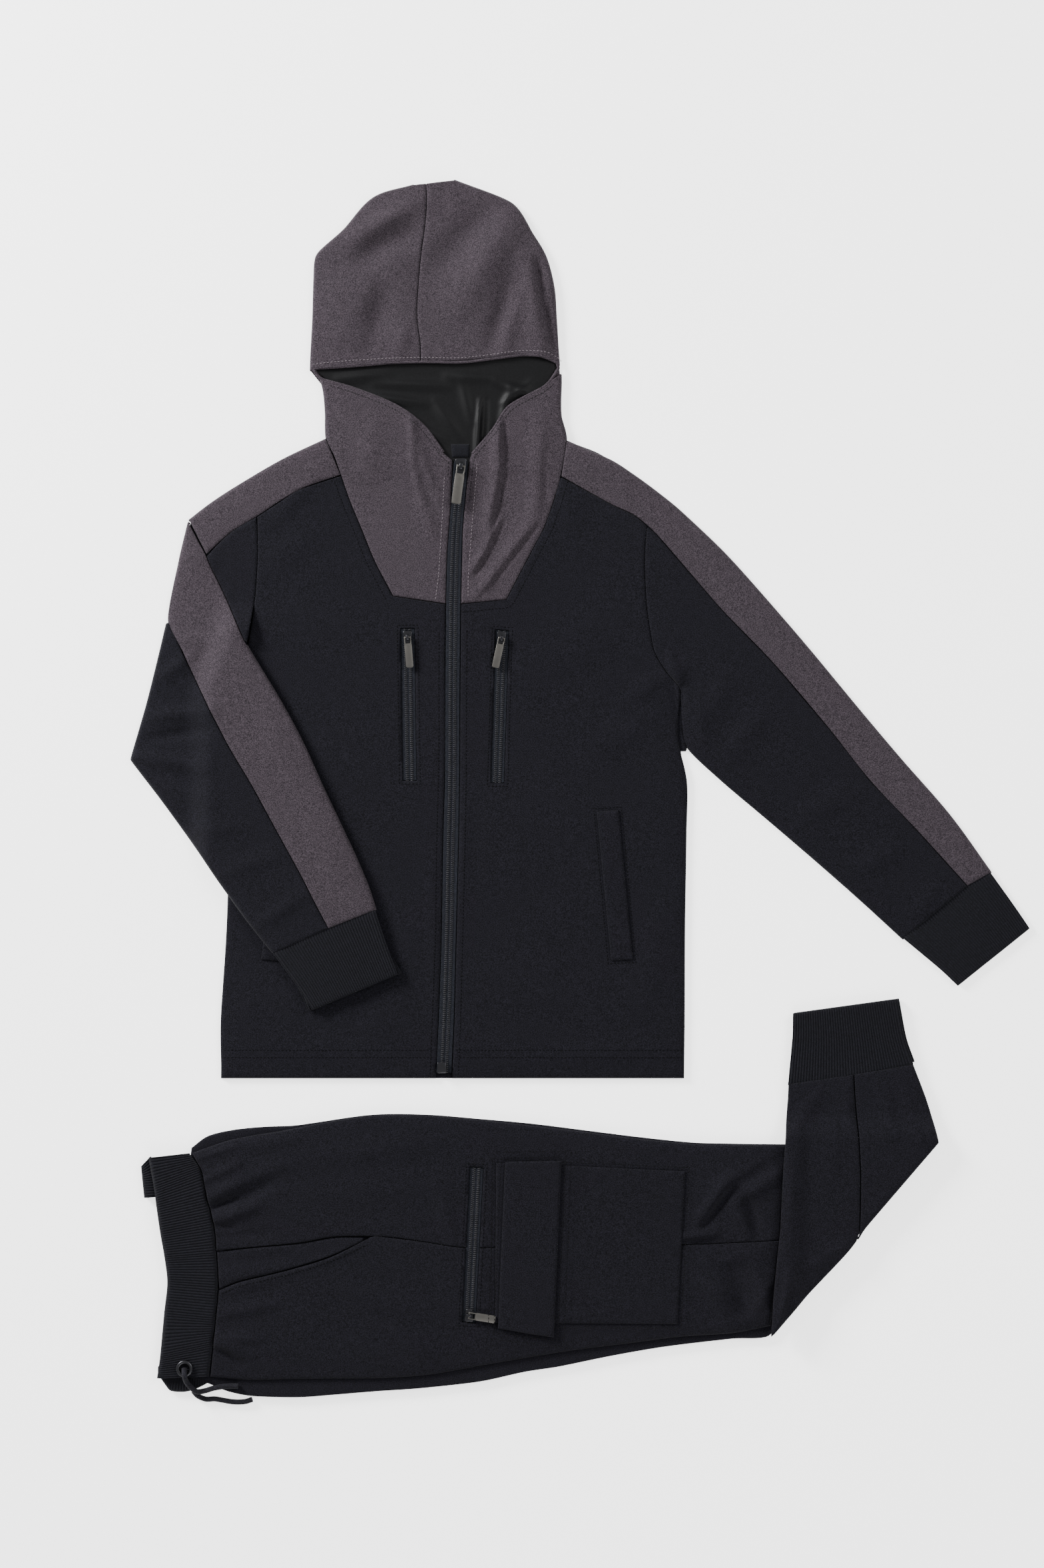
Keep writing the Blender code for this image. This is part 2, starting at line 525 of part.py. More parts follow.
def orderedRim(bm):
    """The sheet's open edge as vertex numbers in order."""
    after = {}
    for face in bm.faces:
        for loop in face.loops:
            if len(loop.edge.link_faces) == 1:
                after[loop.vert.index] = loop.link_loop_next.vert.index
    start = min(after)
    rim = [start]
    while after[rim[-1]] != start:
        rim.append(after[rim[-1]])
    return rim


def rimNormals(rim, places):
    normals = []
    for i in range(len(rim)):
        along = places[rim[(i + 1) % len(rim)]] - places[rim[i - 1]]
        normals.append(Vector((along.y, -along.x, 0)).normalized())
    return normals


def ribWave(columns, last, ribs):
    """A rib's crest on every other column, none where the piece has no ribs."""
    return [RIB_RISE * ribs * (i % (columns + 1) % 2) for i in range((columns + 1) * (last + 1))]


def layered(rise, base):
    return lambda x, y: base(x, y) + rise


def buildCuffs():
    left, right = RIBBED["cuff_left"], RIBBED["cuff_right"]
    shorter = [(ax + 3, ay + 2, bx - 1, by - 1) for ax, ay, bx, by in left]
    stack("cuff_left", left, 78, layered(BACK_TOP + SEAM_GAP, lambda x, y: 0),
          layered(BACK_TOP + SEAM_GAP + RIB_WALL, lambda x, y: 0), "black rib", JACKET_AT, ribs=1)
    stack("cuff_left_under", shorter, 4, lambda x, y: 0, lambda x, y: BACK_TOP, "black rib", JACKET_AT)
    under = [(ax, ay, bx, by) for ax, ay, bx, by in right]
    under[-1] = (-115, 57, -37.5, 88.5)
    stack("cuff_right", right, 78, lambda x, y: cover(x, y) + BACK_TOP + SEAM_GAP,
          lambda x, y: cover(x, y) + BACK_TOP + SEAM_GAP + RIB_WALL, "black rib", JACKET_AT, ribs=1)
    stack("cuff_right_under", under, 4, cover, lambda x, y: cover(x, y) + WALL, "black rib", JACKET_AT)
    ankle = RIBBED["ankle_cuff"]
    stack("ankle_cuff", ankle, 84, lambda x, y: shinBase(x, y) + SHIN_CORE + SHIN_GAP,
          lambda x, y: shinBase(x, y) + SHIN_CORE + SHIN_GAP + RIB_WALL, "black rib", JOGGERS_AT, ribs=1)
    beneath = [(ax + 1.5, ay, bx + 2, by) for ax, ay, bx, by in ankle]
    stack("ankle_cuff_under", beneath, 8, shinBase, lambda x, y: shinBase(x, y) + SHIN_CORE, "black rib",
          JOGGERS_AT, layers=3)


def buildWaistband():
    rows = RIBBED["waistband"]
    line = [(row[:2], row[2:]) for row in rows]
    turned = [[(*a, *b) for a, b in line]]
    fine = []
    for (a, b), (c, d) in zip(line, line[1:]):
        steps = max(2, 2 * round(math.dist(a, c) / (2 * RIB_PITCH)))
        for k in range(steps):
            t = k / steps
            fine.append((a[0] + (c[0] - a[0]) * t, a[1] + (c[1] - a[1]) * t,
                         b[0] + (d[0] - b[0]) * t, b[1] + (d[1] - b[1]) * t))
    fine.append(turned[0][-1])
    crosswise = (tuple(row[:2] for row in fine), tuple(row[2:] for row in fine))
    stackAcross("waistband", crosswise, lambda x, y: LEG_CORE + SEAM_GAP,
                lambda x, y: LEG_CORE + SEAM_GAP + RIB_WALL)
    stack("waistband_far", WAISTBAND_FAR, 3, lambda x, y: 0.5, lambda x, y: LEG_CORE, "black rib",
          JOGGERS_AT, layers=2)


def stackAcross(name, edges, bottom, top):
    """A ribbed band given by its two long edges: a rib crosses it at every other point."""
    first, second = edges
    bm = bmesh.new()
    bands = []
    for level, crest in ((bottom, 0.0), (top, RIB_RISE)):
        for edge in (first, second):
            bands.append([bm.verts.new((x, y, level(x, y) + crest * (i % 2))) for i, (x, y) in enumerate(edge)])
    lowA, lowB, highA, highB = bands
    for a, b in ((lowA, lowB), (lowB, highB), (highB, highA), (highA, lowA)):
        for i in range(len(a) - 1):
            bm.faces.new((a[i], a[i + 1], b[i + 1], b[i]))
    for i in (0, -1):
        bm.faces.new((lowA[i], lowB[i], highB[i], highA[i]))
    bmesh.ops.recalc_face_normals(bm, faces=bm.faces)
    return addObject(name, toMesh(name, bm), "black rib", JOGGERS_AT)


def buildHidden():
    stack("hidden_layers", LEG_HIDDEN, 6, lambda x, y: 0, lambda x, y: LEG_CORE, "black cloth", JOGGERS_AT, layers=3)
    stack("folded_layers", SHIN_HIDDEN, 5, shinBase, lambda x, y: shinBase(x, y) + SHIN_CORE, "black cloth",
          JOGGERS_AT, layers=3)


def windowRows(corners, steps, trim):
    """A window's corners as rows down it, drawn in by the trim."""
    a, b, c, d = [Vector(corner) for corner in corners]
    rows = []
    for k in range(steps + 1):
        t = trim / (a - d).length + (1 - 2 * trim / (a - d).length) * k / steps
        left, right = a.lerp(d, t), b.lerp(c, t)
        rows.append((left.x, left.y, right.x, right.y))
    return rows


def buildZips():
    stack("main_zip", MAIN_ZIP, 2, lambda x, y: jacketTop(x, y) - ZIP_WALL, jacketTop, "zip tape", JACKET_AT)
    for name, corners in CHEST_WINDOWS.items():
        stack(name, windowRows(corners, 6, 0.2), 2, lambda x, y: jacketTop(x, y) - WALL,
              lambda x, y: jacketTop(x, y) - WALL + ZIP_WALL, "zip tape", JACKET_AT)
    stack("thigh_zip", windowRows(THIGH_WINDOW, 6, 0.2), 2, lambda x, y: joggersTop(x, y) - WALL - 0.3,
          lambda x, y: joggersTop(x, y) - WALL - 0.3 + ZIP_WALL, "zip tape", JOGGERS_AT)


def buildPatches():
    for name, rows in WELTS.items():
        stack(name, rows, 3, lambda x, y: jacketTop(x, y) + PATCH_GAP, lambda x, y: jacketTop(x, y) + PATCH_GAP + PATCH_WALL,
              "black cloth", JACKET_AT)
    stack("cargo_pocket", CARGO_POCKET, 5, lambda x, y: joggersTop(x, y) + PATCH_GAP,
          lambda x, y: joggersTop(x, y) + PATCH_GAP + PATCH_WALL, "black cloth", JOGGERS_AT)
    stack("cargo_flap", CARGO_FLAP, 6, lambda x, y: joggersTop(x, y) + 2 * PATCH_GAP + PATCH_WALL + 0.4,
          lambda x, y: joggersTop(x, y) + 2 * PATCH_GAP + 2 * PATCH_WALL + 0.9, "black cloth", JOGGERS_AT)
    stack("neck_label", ((3.5, 514.5, 18, 514.5), (2.5, 526, 18.5, 526)), 1,
          lambda x, y: BACK_TOP + LINING_RISE + SEAM_GAP, lambda x, y: BACK_TOP + LINING_RISE + SEAM_GAP + 0.7,
          "lining", JACKET_AT)

# Sliders: garment, pivot x and y, zip heading, tab heading in degrees, scale, tab length, tab width
SLIDERS = {
    "main": ("jacket", 11.3, 507.0, -88, -97.7, 1.0, 31.5, 7.8),
    "chest_right": ("jacket", -33.0, 365.8, -89, -85.4, 0.8, 25.0, 6.2),
    "chest_left": ("jacket", 44.8, 365.2, -92, -102.0, 0.8, 25.0, 6.2),
    "thigh": ("joggers", 249.9, -40.3, 90, -9.0, 0.8, 22.0, 6.4),
}
SLIDER_BASE = (10.0, 13.5, 2.0)
BRIDGE_HALF_WIDTH = 1.3
BRIDGE_REACH = 3.2
BRIDGE_HOLE = 1.6
PIVOT_RISE = 2.2
PULL_WALL = 1.2
RING_BAR = 0.8
RING_OPENING = 6.2
RING_HALF_WIDTH = 2.6


def flatSolid(name, outlines, thickness):
    """A plate from closed outlines, the first its edge and the rest its holes, as a mesh."""
    curve = bpy.data.curves.new(name, "CURVE")
    curve.dimensions = "2D"
    curve.fill_mode = "BOTH"
    curve.extrude = thickness / 2
    for outline in outlines:
        spline = curve.splines.new("POLY")
        spline.points.add(len(outline) - 1)
        for point, (x, y) in zip(spline.points, outline):
            point.co = (x, y, 0, 1)
        spline.use_cyclic_u = True
    holder = bpy.data.objects.new(name, curve)
    parts.objects.link(holder)
    bpy.context.view_layer.update()
    mesh = bpy.data.meshes.new_from_object(holder.evaluated_get(bpy.context.evaluated_depsgraph_get()))
    bpy.data.objects.remove(holder)
    bm = bmesh.new()
    bm.from_mesh(mesh)
    bmesh.ops.remove_doubles(bm, verts=bm.verts, dist=0.001)
    bmesh.ops.recalc_face_normals(bm, faces=bm.faces)
    bm.to_mesh(mesh)
    bm.free()
    return mesh


def placed(mesh, matrix):
    mesh.transform(matrix)
    return mesh


def tapeTop(garment, x, y):
    return jacketTop(x, y) if garment == "jacket" else joggersTop(x, y) - WALL - 0.3 + ZIP_WALL


def buildSlider(name, spec):
    garment, x, y, zipHeading, heading, scale, length, width = spec
    at = JACKET_AT if garment == "jacket" else JOGGERS_AT
    lift = 0.0 if name in ("main", "thigh") else ZIP_WALL - WALL
    floor = tapeTop(garment, x, y) + lift + SLIDER_GAP
    wide, long, thick = (size * scale for size in SLIDER_BASE)
    bm = bmesh.new()
    turn = Matrix.Rotation(math.radians(zipHeading), 4, "Z")
    bmesh.ops.create_cube(bm, size=1, matrix=turn @ Matrix.Diagonal((long, wide, thick, 1)))
    for vertex in bm.verts:
        vertex.co += Vector((x, y, floor + thick / 2))
    base = bpy.data.meshes.new(f"slider_{name}")
    bm.to_mesh(base)
    bm.free()
    slider = addObject(f"slider_{name}", base, "gunmetal", at)
    pivot = floor + thick + PIVOT_RISE * scale
    reach, hole = BRIDGE_REACH * scale, BRIDGE_HOLE * scale
    low = -(PIVOT_RISE * scale + thick / 2)
    arch = [(-reach, low), (reach, low), (reach, 1.4 * scale), (1.8 * scale, 2.5 * scale),
            (-1.8 * scale, 2.5 * scale), (-reach, 1.4 * scale)]
    opening = [(hole * math.cos(a), hole * math.sin(a)) for a in (math.radians(45 * k + 22.5) for k in range(8))]
    standing = Matrix.Translation((x, y, pivot)) @ Matrix.Rotation(math.radians(heading), 4, "Z") @ \
        Matrix.Rotation(math.radians(90), 4, "X")
    bridge = placed(flatSolid(f"bridge_{name}", (arch, opening), 2 * BRIDGE_HALF_WIDTH * scale), standing)
    guide = addObject(f"bridge_{name}", bridge, "gunmetal", at)
    union = slider.modifiers.new("bridge", "BOOLEAN")
    union.operation = "UNION"
    union.object = guide
    parts.objects.unlink(guide)
    cutters.objects.link(guide)
    guide.hide_render = True
    guide.display_type = "WIRE"
    buildPull(name, at, (x, y, pivot), heading, scale, length, width)


def buildPull(name, at, pivot, heading, scale, length, width):
    """A tab whose ring turns in the slider's bridge; it points along its heading."""
    bar, opening, inner = RING_BAR * scale, RING_OPENING * scale, RING_HALF_WIDTH * scale
    half, neck = width / 2, inner + 1.0 * scale
    outline = [(-bar, -neck), (opening, -neck), (opening + 2.5 * scale, -half), (length - 0.8, -half),
               (length, -half + 0.8), (length, half - 0.8), (length - 0.8, half), (opening + 2.5 * scale, half),
               (opening, neck), (-bar, neck)]
    ring = [(bar, -inner), (bar, inner), (opening, inner), (opening, -inner)]
    lying = Matrix.Translation(pivot) @ Matrix.Rotation(math.radians(heading), 4, "Z")
    plate = placed(flatSolid(f"pull_{name}", (outline, ring), PULL_WALL), lying)
    addObject(f"pull_{name}", plate, "gunmetal", at)


def buildTrim():
    """The main zip's bottom box, the waistband's eyelet, and the drawstring's free ends."""
    bm = bmesh.new()
    bmesh.ops.create_cube(bm, size=1, matrix=Matrix.Diagonal((7.5, 9.0, 2.6, 1)))
    for vertex in bm.verts:
        vertex.co += Vector((-4.6, 10.5, jacketTop(-4.6, 10.5) + 0.6 + 1.3))
    mesh = bpy.data.meshes.new("bottom_box")
    bm.to_mesh(mesh)
    bm.free()
    addObject("bottom_box", mesh, "gunmetal", JACKET_AT)
    x, y = EYELET_AT
    minor = (EYELET_OUTER - EYELET_HOLE) / 4
    rise = LEG_CORE + SEAM_GAP + RIB_WALL + RIB_RISE + SEAM_GAP + minor
    bpy.ops.mesh.primitive_torus_add(major_radius=EYELET_OUTER / 2 - minor, minor_radius=minor,
                                     major_segments=20, minor_segments=8, location=(0, 0, 0))
    ring = bpy.context.object
    mesh = ring.data.copy()
    bpy.data.objects.remove(ring)
    mesh.transform(Matrix.Translation((x, y, rise)))
    addObject("eyelet", mesh, "gunmetal", JOGGERS_AT)
    onBand = LEG_CORE + SEAM_GAP + RIB_WALL + RIB_RISE + CORD_DIAMETER / 2 + 0.5
    low = CORD_DIAMETER / 2 + 0.2
    cord("drawstring_near", DRAWSTRING_NEAR, (onBand + 0.2, onBand + 3.4, onBand + 0.5, onBand - 1.2, low + 6.2,
                                              low + 1.8, low, low, low))
    cord("drawstring_far", DRAWSTRING_FAR, (low,) * len(DRAWSTRING_FAR))


def cord(name, route, heights):
    """A round cord along a smooth curve through its own points."""
    points = [Vector((x, y, z)) for (x, y), z in zip(route, heights)]
    ends = [points[0] * 2 - points[1], *points, points[-1] * 2 - points[-2]]
    path = []
    for a, b, c, d in zip(ends, ends[1:], ends[2:], ends[3:]):
        for t in (0, 0.5):
            path.append(0.5 * (2 * b + (c - a) * t + (2 * a - 5 * b + 4 * c - d) * t * t
                               + (3 * b - a - 3 * c + d) * t ** 3))
    path.append(points[-1])
    curve = bpy.data.curves.new(name, "CURVE")
    curve.dimensions = "3D"
    curve.bevel_depth = CORD_DIAMETER * 0.0005
    curve.bevel_resolution = 2
    curve.use_fill_caps = True
    spline = curve.splines.new("POLY")
    spline.points.add(len(path) - 1)
    for point, place in zip(spline.points, path):
        point.co = ((place.x + JOGGERS_AT[0]) * 0.001, (place.y + JOGGERS_AT[1]) * 0.001, place.z * 0.001, 1)
    made = bpy.data.objects.new(name, curve)
    made.data.materials.append(material(f"cord ({name})"))
    parts.objects.link(made)


for old in list(bpy.data.objects):
    bpy.data.objects.remove(old)
parts = bpy.data.collections.new("tracksuit")
cutters = bpy.data.collections.new("tracksuit_guides")
bpy.context.scene.collection.children.link(parts)
bpy.context.scene.collection.children.link(cutters)

buildCloth(JACKET_PANELS, JACKET_AT)
buildCloth(JOGGERS_PANELS, JOGGERS_AT)
buildHidden()
buildCuffs()
buildWaistband()
buildZips()
buildPatches()
for sliderName, sliderSpec in SLIDERS.items():
    buildSlider(sliderName, sliderSpec)
buildTrim()
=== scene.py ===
import math

import bmesh
import bpy
from mathutils import Matrix, Vector


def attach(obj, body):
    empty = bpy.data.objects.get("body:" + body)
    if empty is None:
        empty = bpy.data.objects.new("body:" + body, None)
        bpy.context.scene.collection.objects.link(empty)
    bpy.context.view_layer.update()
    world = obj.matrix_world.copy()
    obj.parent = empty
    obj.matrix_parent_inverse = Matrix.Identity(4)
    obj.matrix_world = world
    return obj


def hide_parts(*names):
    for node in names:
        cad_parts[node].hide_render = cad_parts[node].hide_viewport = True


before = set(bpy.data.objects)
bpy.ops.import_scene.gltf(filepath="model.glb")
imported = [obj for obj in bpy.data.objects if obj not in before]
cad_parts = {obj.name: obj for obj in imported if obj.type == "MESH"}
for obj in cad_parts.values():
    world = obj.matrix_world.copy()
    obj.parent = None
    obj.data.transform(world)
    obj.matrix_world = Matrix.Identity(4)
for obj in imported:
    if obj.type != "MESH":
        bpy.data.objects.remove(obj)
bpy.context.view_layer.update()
print("frame loaded:", len(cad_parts), "nodes")

# Lengths are in millimetres, x and y in each garment's own frame, as in the part's source
mm = 0.001
garmentAt = {"jacket": (-110.0, -240.5), "joggers": (-342.0, -393.5)}
wall = 1.6  # cloth of the solids
shell = 1.3  # cloth drawn over them
seamGap = 0.3
liningRise = 1.5
frontTop = 3.5  # the fronts' solid
coverRise = 9.2  # of the folded sleeve over the front
stepSpread = 7.0
legCore = 6.0
legTop = 7.9
shinCore = 4.6
shinGap = 0.9
patchGap = 0.35
patchWall = 1.5

# Edges of each cloth piece as rows across it: one side's x and y, then the other side's x and y.
# Neighbours share their seam's points.
jacketPanels = {
    "jacket_back": (
        (-188, 1, 196, 1), (-187, 60, 196.5, 60), (-183, 130, 197, 130), (-181, 232, 198, 232),
        (-181, 290, 191, 290), (-180.5, 322.5, 192.5, 322.5), (-165.5, 359.5, 170.5, 356),
        (-158.5, 407, 164, 405), (-157.5, 466, 165, 460), (-138, 511, 136, 511), (-100, 530.5, 98, 529.5),
    ),
    "front_left": (
        (3.5, 1, 196, 1), (5.5, 49, 196.5, 49), (7.3, 119.5, 196.8, 119.5), (9, 189, 197.5, 189),
        (10, 245, 198.5, 245), (10.2, 285, 190.5, 285), (10.4, 322.5, 192.5, 322.5),
        (10.6, 348, 180.5, 338), (10.8, 372, 170.5, 356), (11, 393.3, 165, 389), (48.5, 397, 163.8, 405),
        (59, 417, 163, 424.5), (70, 438, 163.6, 442), (80, 457, 165, 457.9), (83.6, 467, 155, 466.5),
        (87.5, 478, 138, 474.5), (90.4, 488, 119.5, 484.5), (93.2, 497.6, 94.6, 498),
    ),
    "front_right": (
        (-187.5, 1, -9.5, 1), (-188, 49, -7.5, 49), (-183.5, 119.5, -5, 119.5), (-181, 189, -4, 189),
        (-181, 245, -2.5, 245), (-181, 285, -2, 285), (-180.5, 322.5, -2, 322.5), (-173, 339.5, -2, 345),
        (-165.5, 359.5, -1.8, 370), (-161.5, 382.5, -1.5, 393.3), (-158.5, 407, -45, 400),
        (-157, 435, -60.5, 429.5), (-157.2, 450, -70.5, 454), (-157.5, 465.5, -77.5, 470.8),
        (-140.2, 476.8, -82, 482.3), (-123, 487.5, -85, 491), (-92.5, 497.9, -88, 499.3),
    ),
    "hood_right": (
        (-45, 400, -1.5, 393.6), (-60.5, 429.5, -0.5, 429.5), (-70.5, 454, 1, 454), (-80.5, 478, 3, 478),
        (-88, 499.5, 4, 499.5), (-93.5, 515, 4, 512), (-100.3, 530.7, -3.5, 519), (-101, 551, -20, 541),
        (-102, 565, -43.5, 558), (-103.5, 574, -77, 571.5), (-105.5, 580.5, -98, 578),
    ),
    "hood_left": (
        (11, 393.6, 48.5, 397), (11.5, 417, 59, 417), (12, 438, 70, 438), (12.5, 457, 80, 457),
        (14.5, 478, 87.5, 478), (16.5, 498.5, 93.5, 498.5), (20, 517.5, 98.3, 529.2),
        (38, 538, 94, 548.5), (50.5, 556.5, 93.5, 562), (77.5, 571.5, 94, 576), (87, 579.5, 93.8, 583.5),
    ),
    "crown_right": (
        (-113.5, 586.5, -22.2, 594), (-113, 600.5, -22.5, 609), (-111.5, 628, -25.2, 631),
        (-110.5, 661, -24.2, 655.5), (-108, 682.5, -21.8, 683), (-86, 703, -18.8, 705),
        (-61.5, 729.5, -17.2, 724.5), (-28.5, 740, -17.6, 741),
    ),
    "crown_left": (
        (-22.2, 594, 92.5, 590.5), (-22.5, 609, 91.5, 603.5), (-25.2, 631, 90, 628),
        (-24.2, 655.5, 88, 655.5), (-21.8, 683, 81.5, 680.5), (-18.8, 705, 70.5, 699.5),
        (-17.2, 724.5, 53, 725), (-17.6, 741, 6, 744),
    ),
    "hood_back": (
        (-100.3, 531.2, 98.3, 529.8), (-101, 551, 94, 548.5), (-103.5, 574, 94, 576),
        (-113.5, 586.5, 92.5, 590.5), (-111.5, 628, 90, 628), (-110.5, 661, 88, 655.5),
        (-108, 682.5, 81.5, 680.5), (-86, 703, 70.5, 699.5), (-61.5, 729.5, 53, 725),
        (-28.5, 740, 6, 744),
    ),
    "hood_lining": (
        (-4, 500, 26, 500), (-26, 520, 44, 520), (-60, 548, 62, 548), (-88, 568, 82, 566),
        (-110.5, 588, 90, 591.5), (-110.5, 606, 89.5, 606),
    ),
    "stripe_left": (
        (94, 498.9, 98.3, 528.6), (119.5, 484.5, 135, 512.5), (138, 474.5, 153, 501),
        (155, 466.5, 171, 488), (172.5, 451.5, 191.5, 471.5), (202, 417.5, 226.5, 438.5),
        (228.5, 387, 254.5, 408), (270, 344, 296.5, 359.5), (315.5, 290.5, 340, 307),
        (350, 247, 375.5, 265), (391, 203.5, 416, 218.5), (430, 160.5, 450, 171.5),
    ),
    "shoulder_right": (
        (-100.3, 530.2, -88.3, 500.2), (-137.5, 512.5, -123, 487.5), (-176, 490, -157.5, 466),
        (-196.5, 476.5, -179.5, 452.5), (-214, 463, -199.5, 434.5),
    ),
    "sleeve_left_front": (
        (164.9, 456.5, 165.9, 457), (163.6, 442, 172.5, 451.5), (163, 424.5, 187.25, 434.5),
        (163.8, 405, 202, 417.5), (165, 389, 228.5, 387), (170.5, 356, 249.25, 365.5),
        (180.5, 338, 270, 344), (192.5, 322.5, 292.75, 317.25), (193.5, 301, 315.5, 290.5),
        (198, 276, 332.75, 268.75), (226, 248.5, 350, 247), (265, 215.5, 370.5, 225.25),
        (303.5, 182.5, 391, 203.5), (341, 149.5, 410.5, 182), (377, 116.5, 430, 160.5),
    ),
    "sleeve_left_back": (
        (167, 460, 183, 478), (165.6, 424.5, 213, 451), (172.8, 358, 254, 408), (194, 325, 297, 359),
        (199, 277, 340, 306.5), (265, 216.5, 375, 264.5), (341, 150.5, 416, 218),
        (378, 117.5, 449.5, 171.3),
    ),
    "sleeve_right_front": (
        (-199.3, 433, -158, 465.5), (-196, 424.5, -157.2, 450), (-191.2, 415, -157, 435),
        (-186.5, 405.5, -158.5, 407), (-176, 382.5, -161.5, 382.5), (-167.2, 363.3, -165.2, 361.5),
    ),
    "stripe_right": (
        (-214.5, 461.5, -200, 434), (-222, 430, -196, 424.5), (-231, 380.5, -186.5, 405.5),
        (-219.8, 355.8, -176, 382.5), (-208.5, 331, -165.5, 359.5), (-181.5, 278, -139, 315.5),
        (-161.5, 244, -120, 280.5), (-144, 212, -102.5, 242), (-121, 170, -77.5, 189),
        (-109, 146.5, -65.5, 161), (-98, 125.5, -59, 141),
    ),
    "sleeve_right_back": (
        (-232.5, 377, -230.7, 378.5), (-248, 314, -208.5, 331), (-262, 265, -181.5, 278),
        (-237, 232, -161.5, 244), (-213, 199, -144, 212), (-187, 162.5, -121, 170),
        (-165, 132, -109, 146.5), (-143.5, 105, -98, 125.5),
    ),
    "sleeve_right_under": (
        (-213, 461, -160.5, 464.5), (-221, 429, -160, 436), (-230, 380.5, -165.5, 385),
        (-240, 345, -169, 362), (-247, 314, -160, 350), (-261, 265, -141, 315), (-236, 232, -122, 280),
        (-212, 199, -104, 241.5), (-186, 162.5, -79, 188.5), (-164, 132, -67, 160.5),
        (-143, 106, -60.5, 140.5),
    ),
}

joggersPanels = {
    "leg_back": (
        (29.5, 78.5, 21, 93.3), (34, 55, 49, 103), (39.5, 33, 70, 107.5), (41.3, 12.3, 95, 111.5),
        (71, 15.5, 126.5, 117.5), (110, 19, 150, 121.5), (139.5, 24, 170.5, 124), (179, 24, 192, 124.3),
        (208.5, 20.5, 214.5, 124), (247.5, 15, 258.5, 120.5), (330, 16, 330, 112.5),
        (385, 16.5, 385, 105.5), (425.5, 17.5, 430, 101), (466, 19, 466, 100), (507, 21, 512, 99.5),
    ),
    "leg_front": (
        (36, -92, 43.3, -20), (67, -94.5, 61, -13), (100, -94, 100, -3.5), (136, -93.5, 135.5, 7.5),
        (155, -93.5, 169, 24), (182, -93, 179, 24), (219, -90, 208.5, 20.5), (258.5, -83, 247.5, 15),
        (327, -71.5, 330, 16), (385, -64, 385, 16.5), (424, -59, 425.5, 17.5), (467.5, -56, 466, 19),
        (499, -50, 507, 21),
    ),
    "hip_pocket": (
        (43.5, -19.4, 41.5, 11.6), (61, -12.5, 71, 15), (100, -3, 110, 18.5), (135.5, 8, 139.5, 23.5),
        (162, 20.2, 163, 23.2),
    ),
    "shin_back": (
        (498.5, -57.5, 502, -54.5), (500.3, -25.5, 527.5, -25.5), (503, 3, 554, 2.5),
        (505, 22, 569.5, 21), (506, 31.5, 571.8, 31.5), (508, 73.5, 572.5, 73.5), (510, 102, 571.2, 102),
        (511, 115.5, 570.3, 115.5), (513, 137.5, 568.5, 137.5), (513.5, 150, 567.5, 158),
    ),
    "shin_front": (
        (570.2, 21.6, 571.4, 22.8), (572.2, 31.5, 577, 31.5), (572.9, 73.5, 613, 73.5),
        (571.6, 102, 637.5, 102), (570.7, 115.5, 634.5, 115.5), (568.9, 137.5, 628, 137.5),
        (567.9, 158, 617, 166.5),
    ),
}
# Silhouettes that a layer rounds down to: piece, side of its rows, first row, last row
shores = {
    "jacket": (("jacket_back", "a", 0, 5), ("jacket_back", "b", 0, 5), ("sleeve_left_back", "a", 3, 7),
               ("stripe_left", "b", 0, 11), ("shoulder_right", "a", 0, 4), ("hood_back", "a", 0, 9),
               ("hood_back", "b", 0, 9)),
    "sleeve": (("sleeve_right_back", "a", 0, 7), ("stripe_right", "a", 0, 2), ("stripe_right", "b", 4, 10),
               ("shoulder_right", "a", 0, 4)),
    "joggers": (("leg_back", "b", 0, 14), ("leg_front", "a", 0, 12)),
    "shin": (("shin_back", "a", 0, 9), ("shin_front", "b", 0, 6), ("shin_back", "b", 0, 2)),
}
# Where one cloth runs on round the silhouette to the underside
turnedEdges = (("stripe_left", "b", 0, 11), ("shoulder_right", "a", 0, 4), ("stripe_right", "a", 0, 3),
               ("hood_right", "a", 6, 10), ("hood_left", "b", 6, 10), ("crown_right", "a", 0, 7),
               ("crown_left", "b", 0, 7), ("sleeve_left_front", "a", 9, 14), ("sleeve_right_back", "a", 0, 7),
               ("stripe_right", "b", 4, 10))
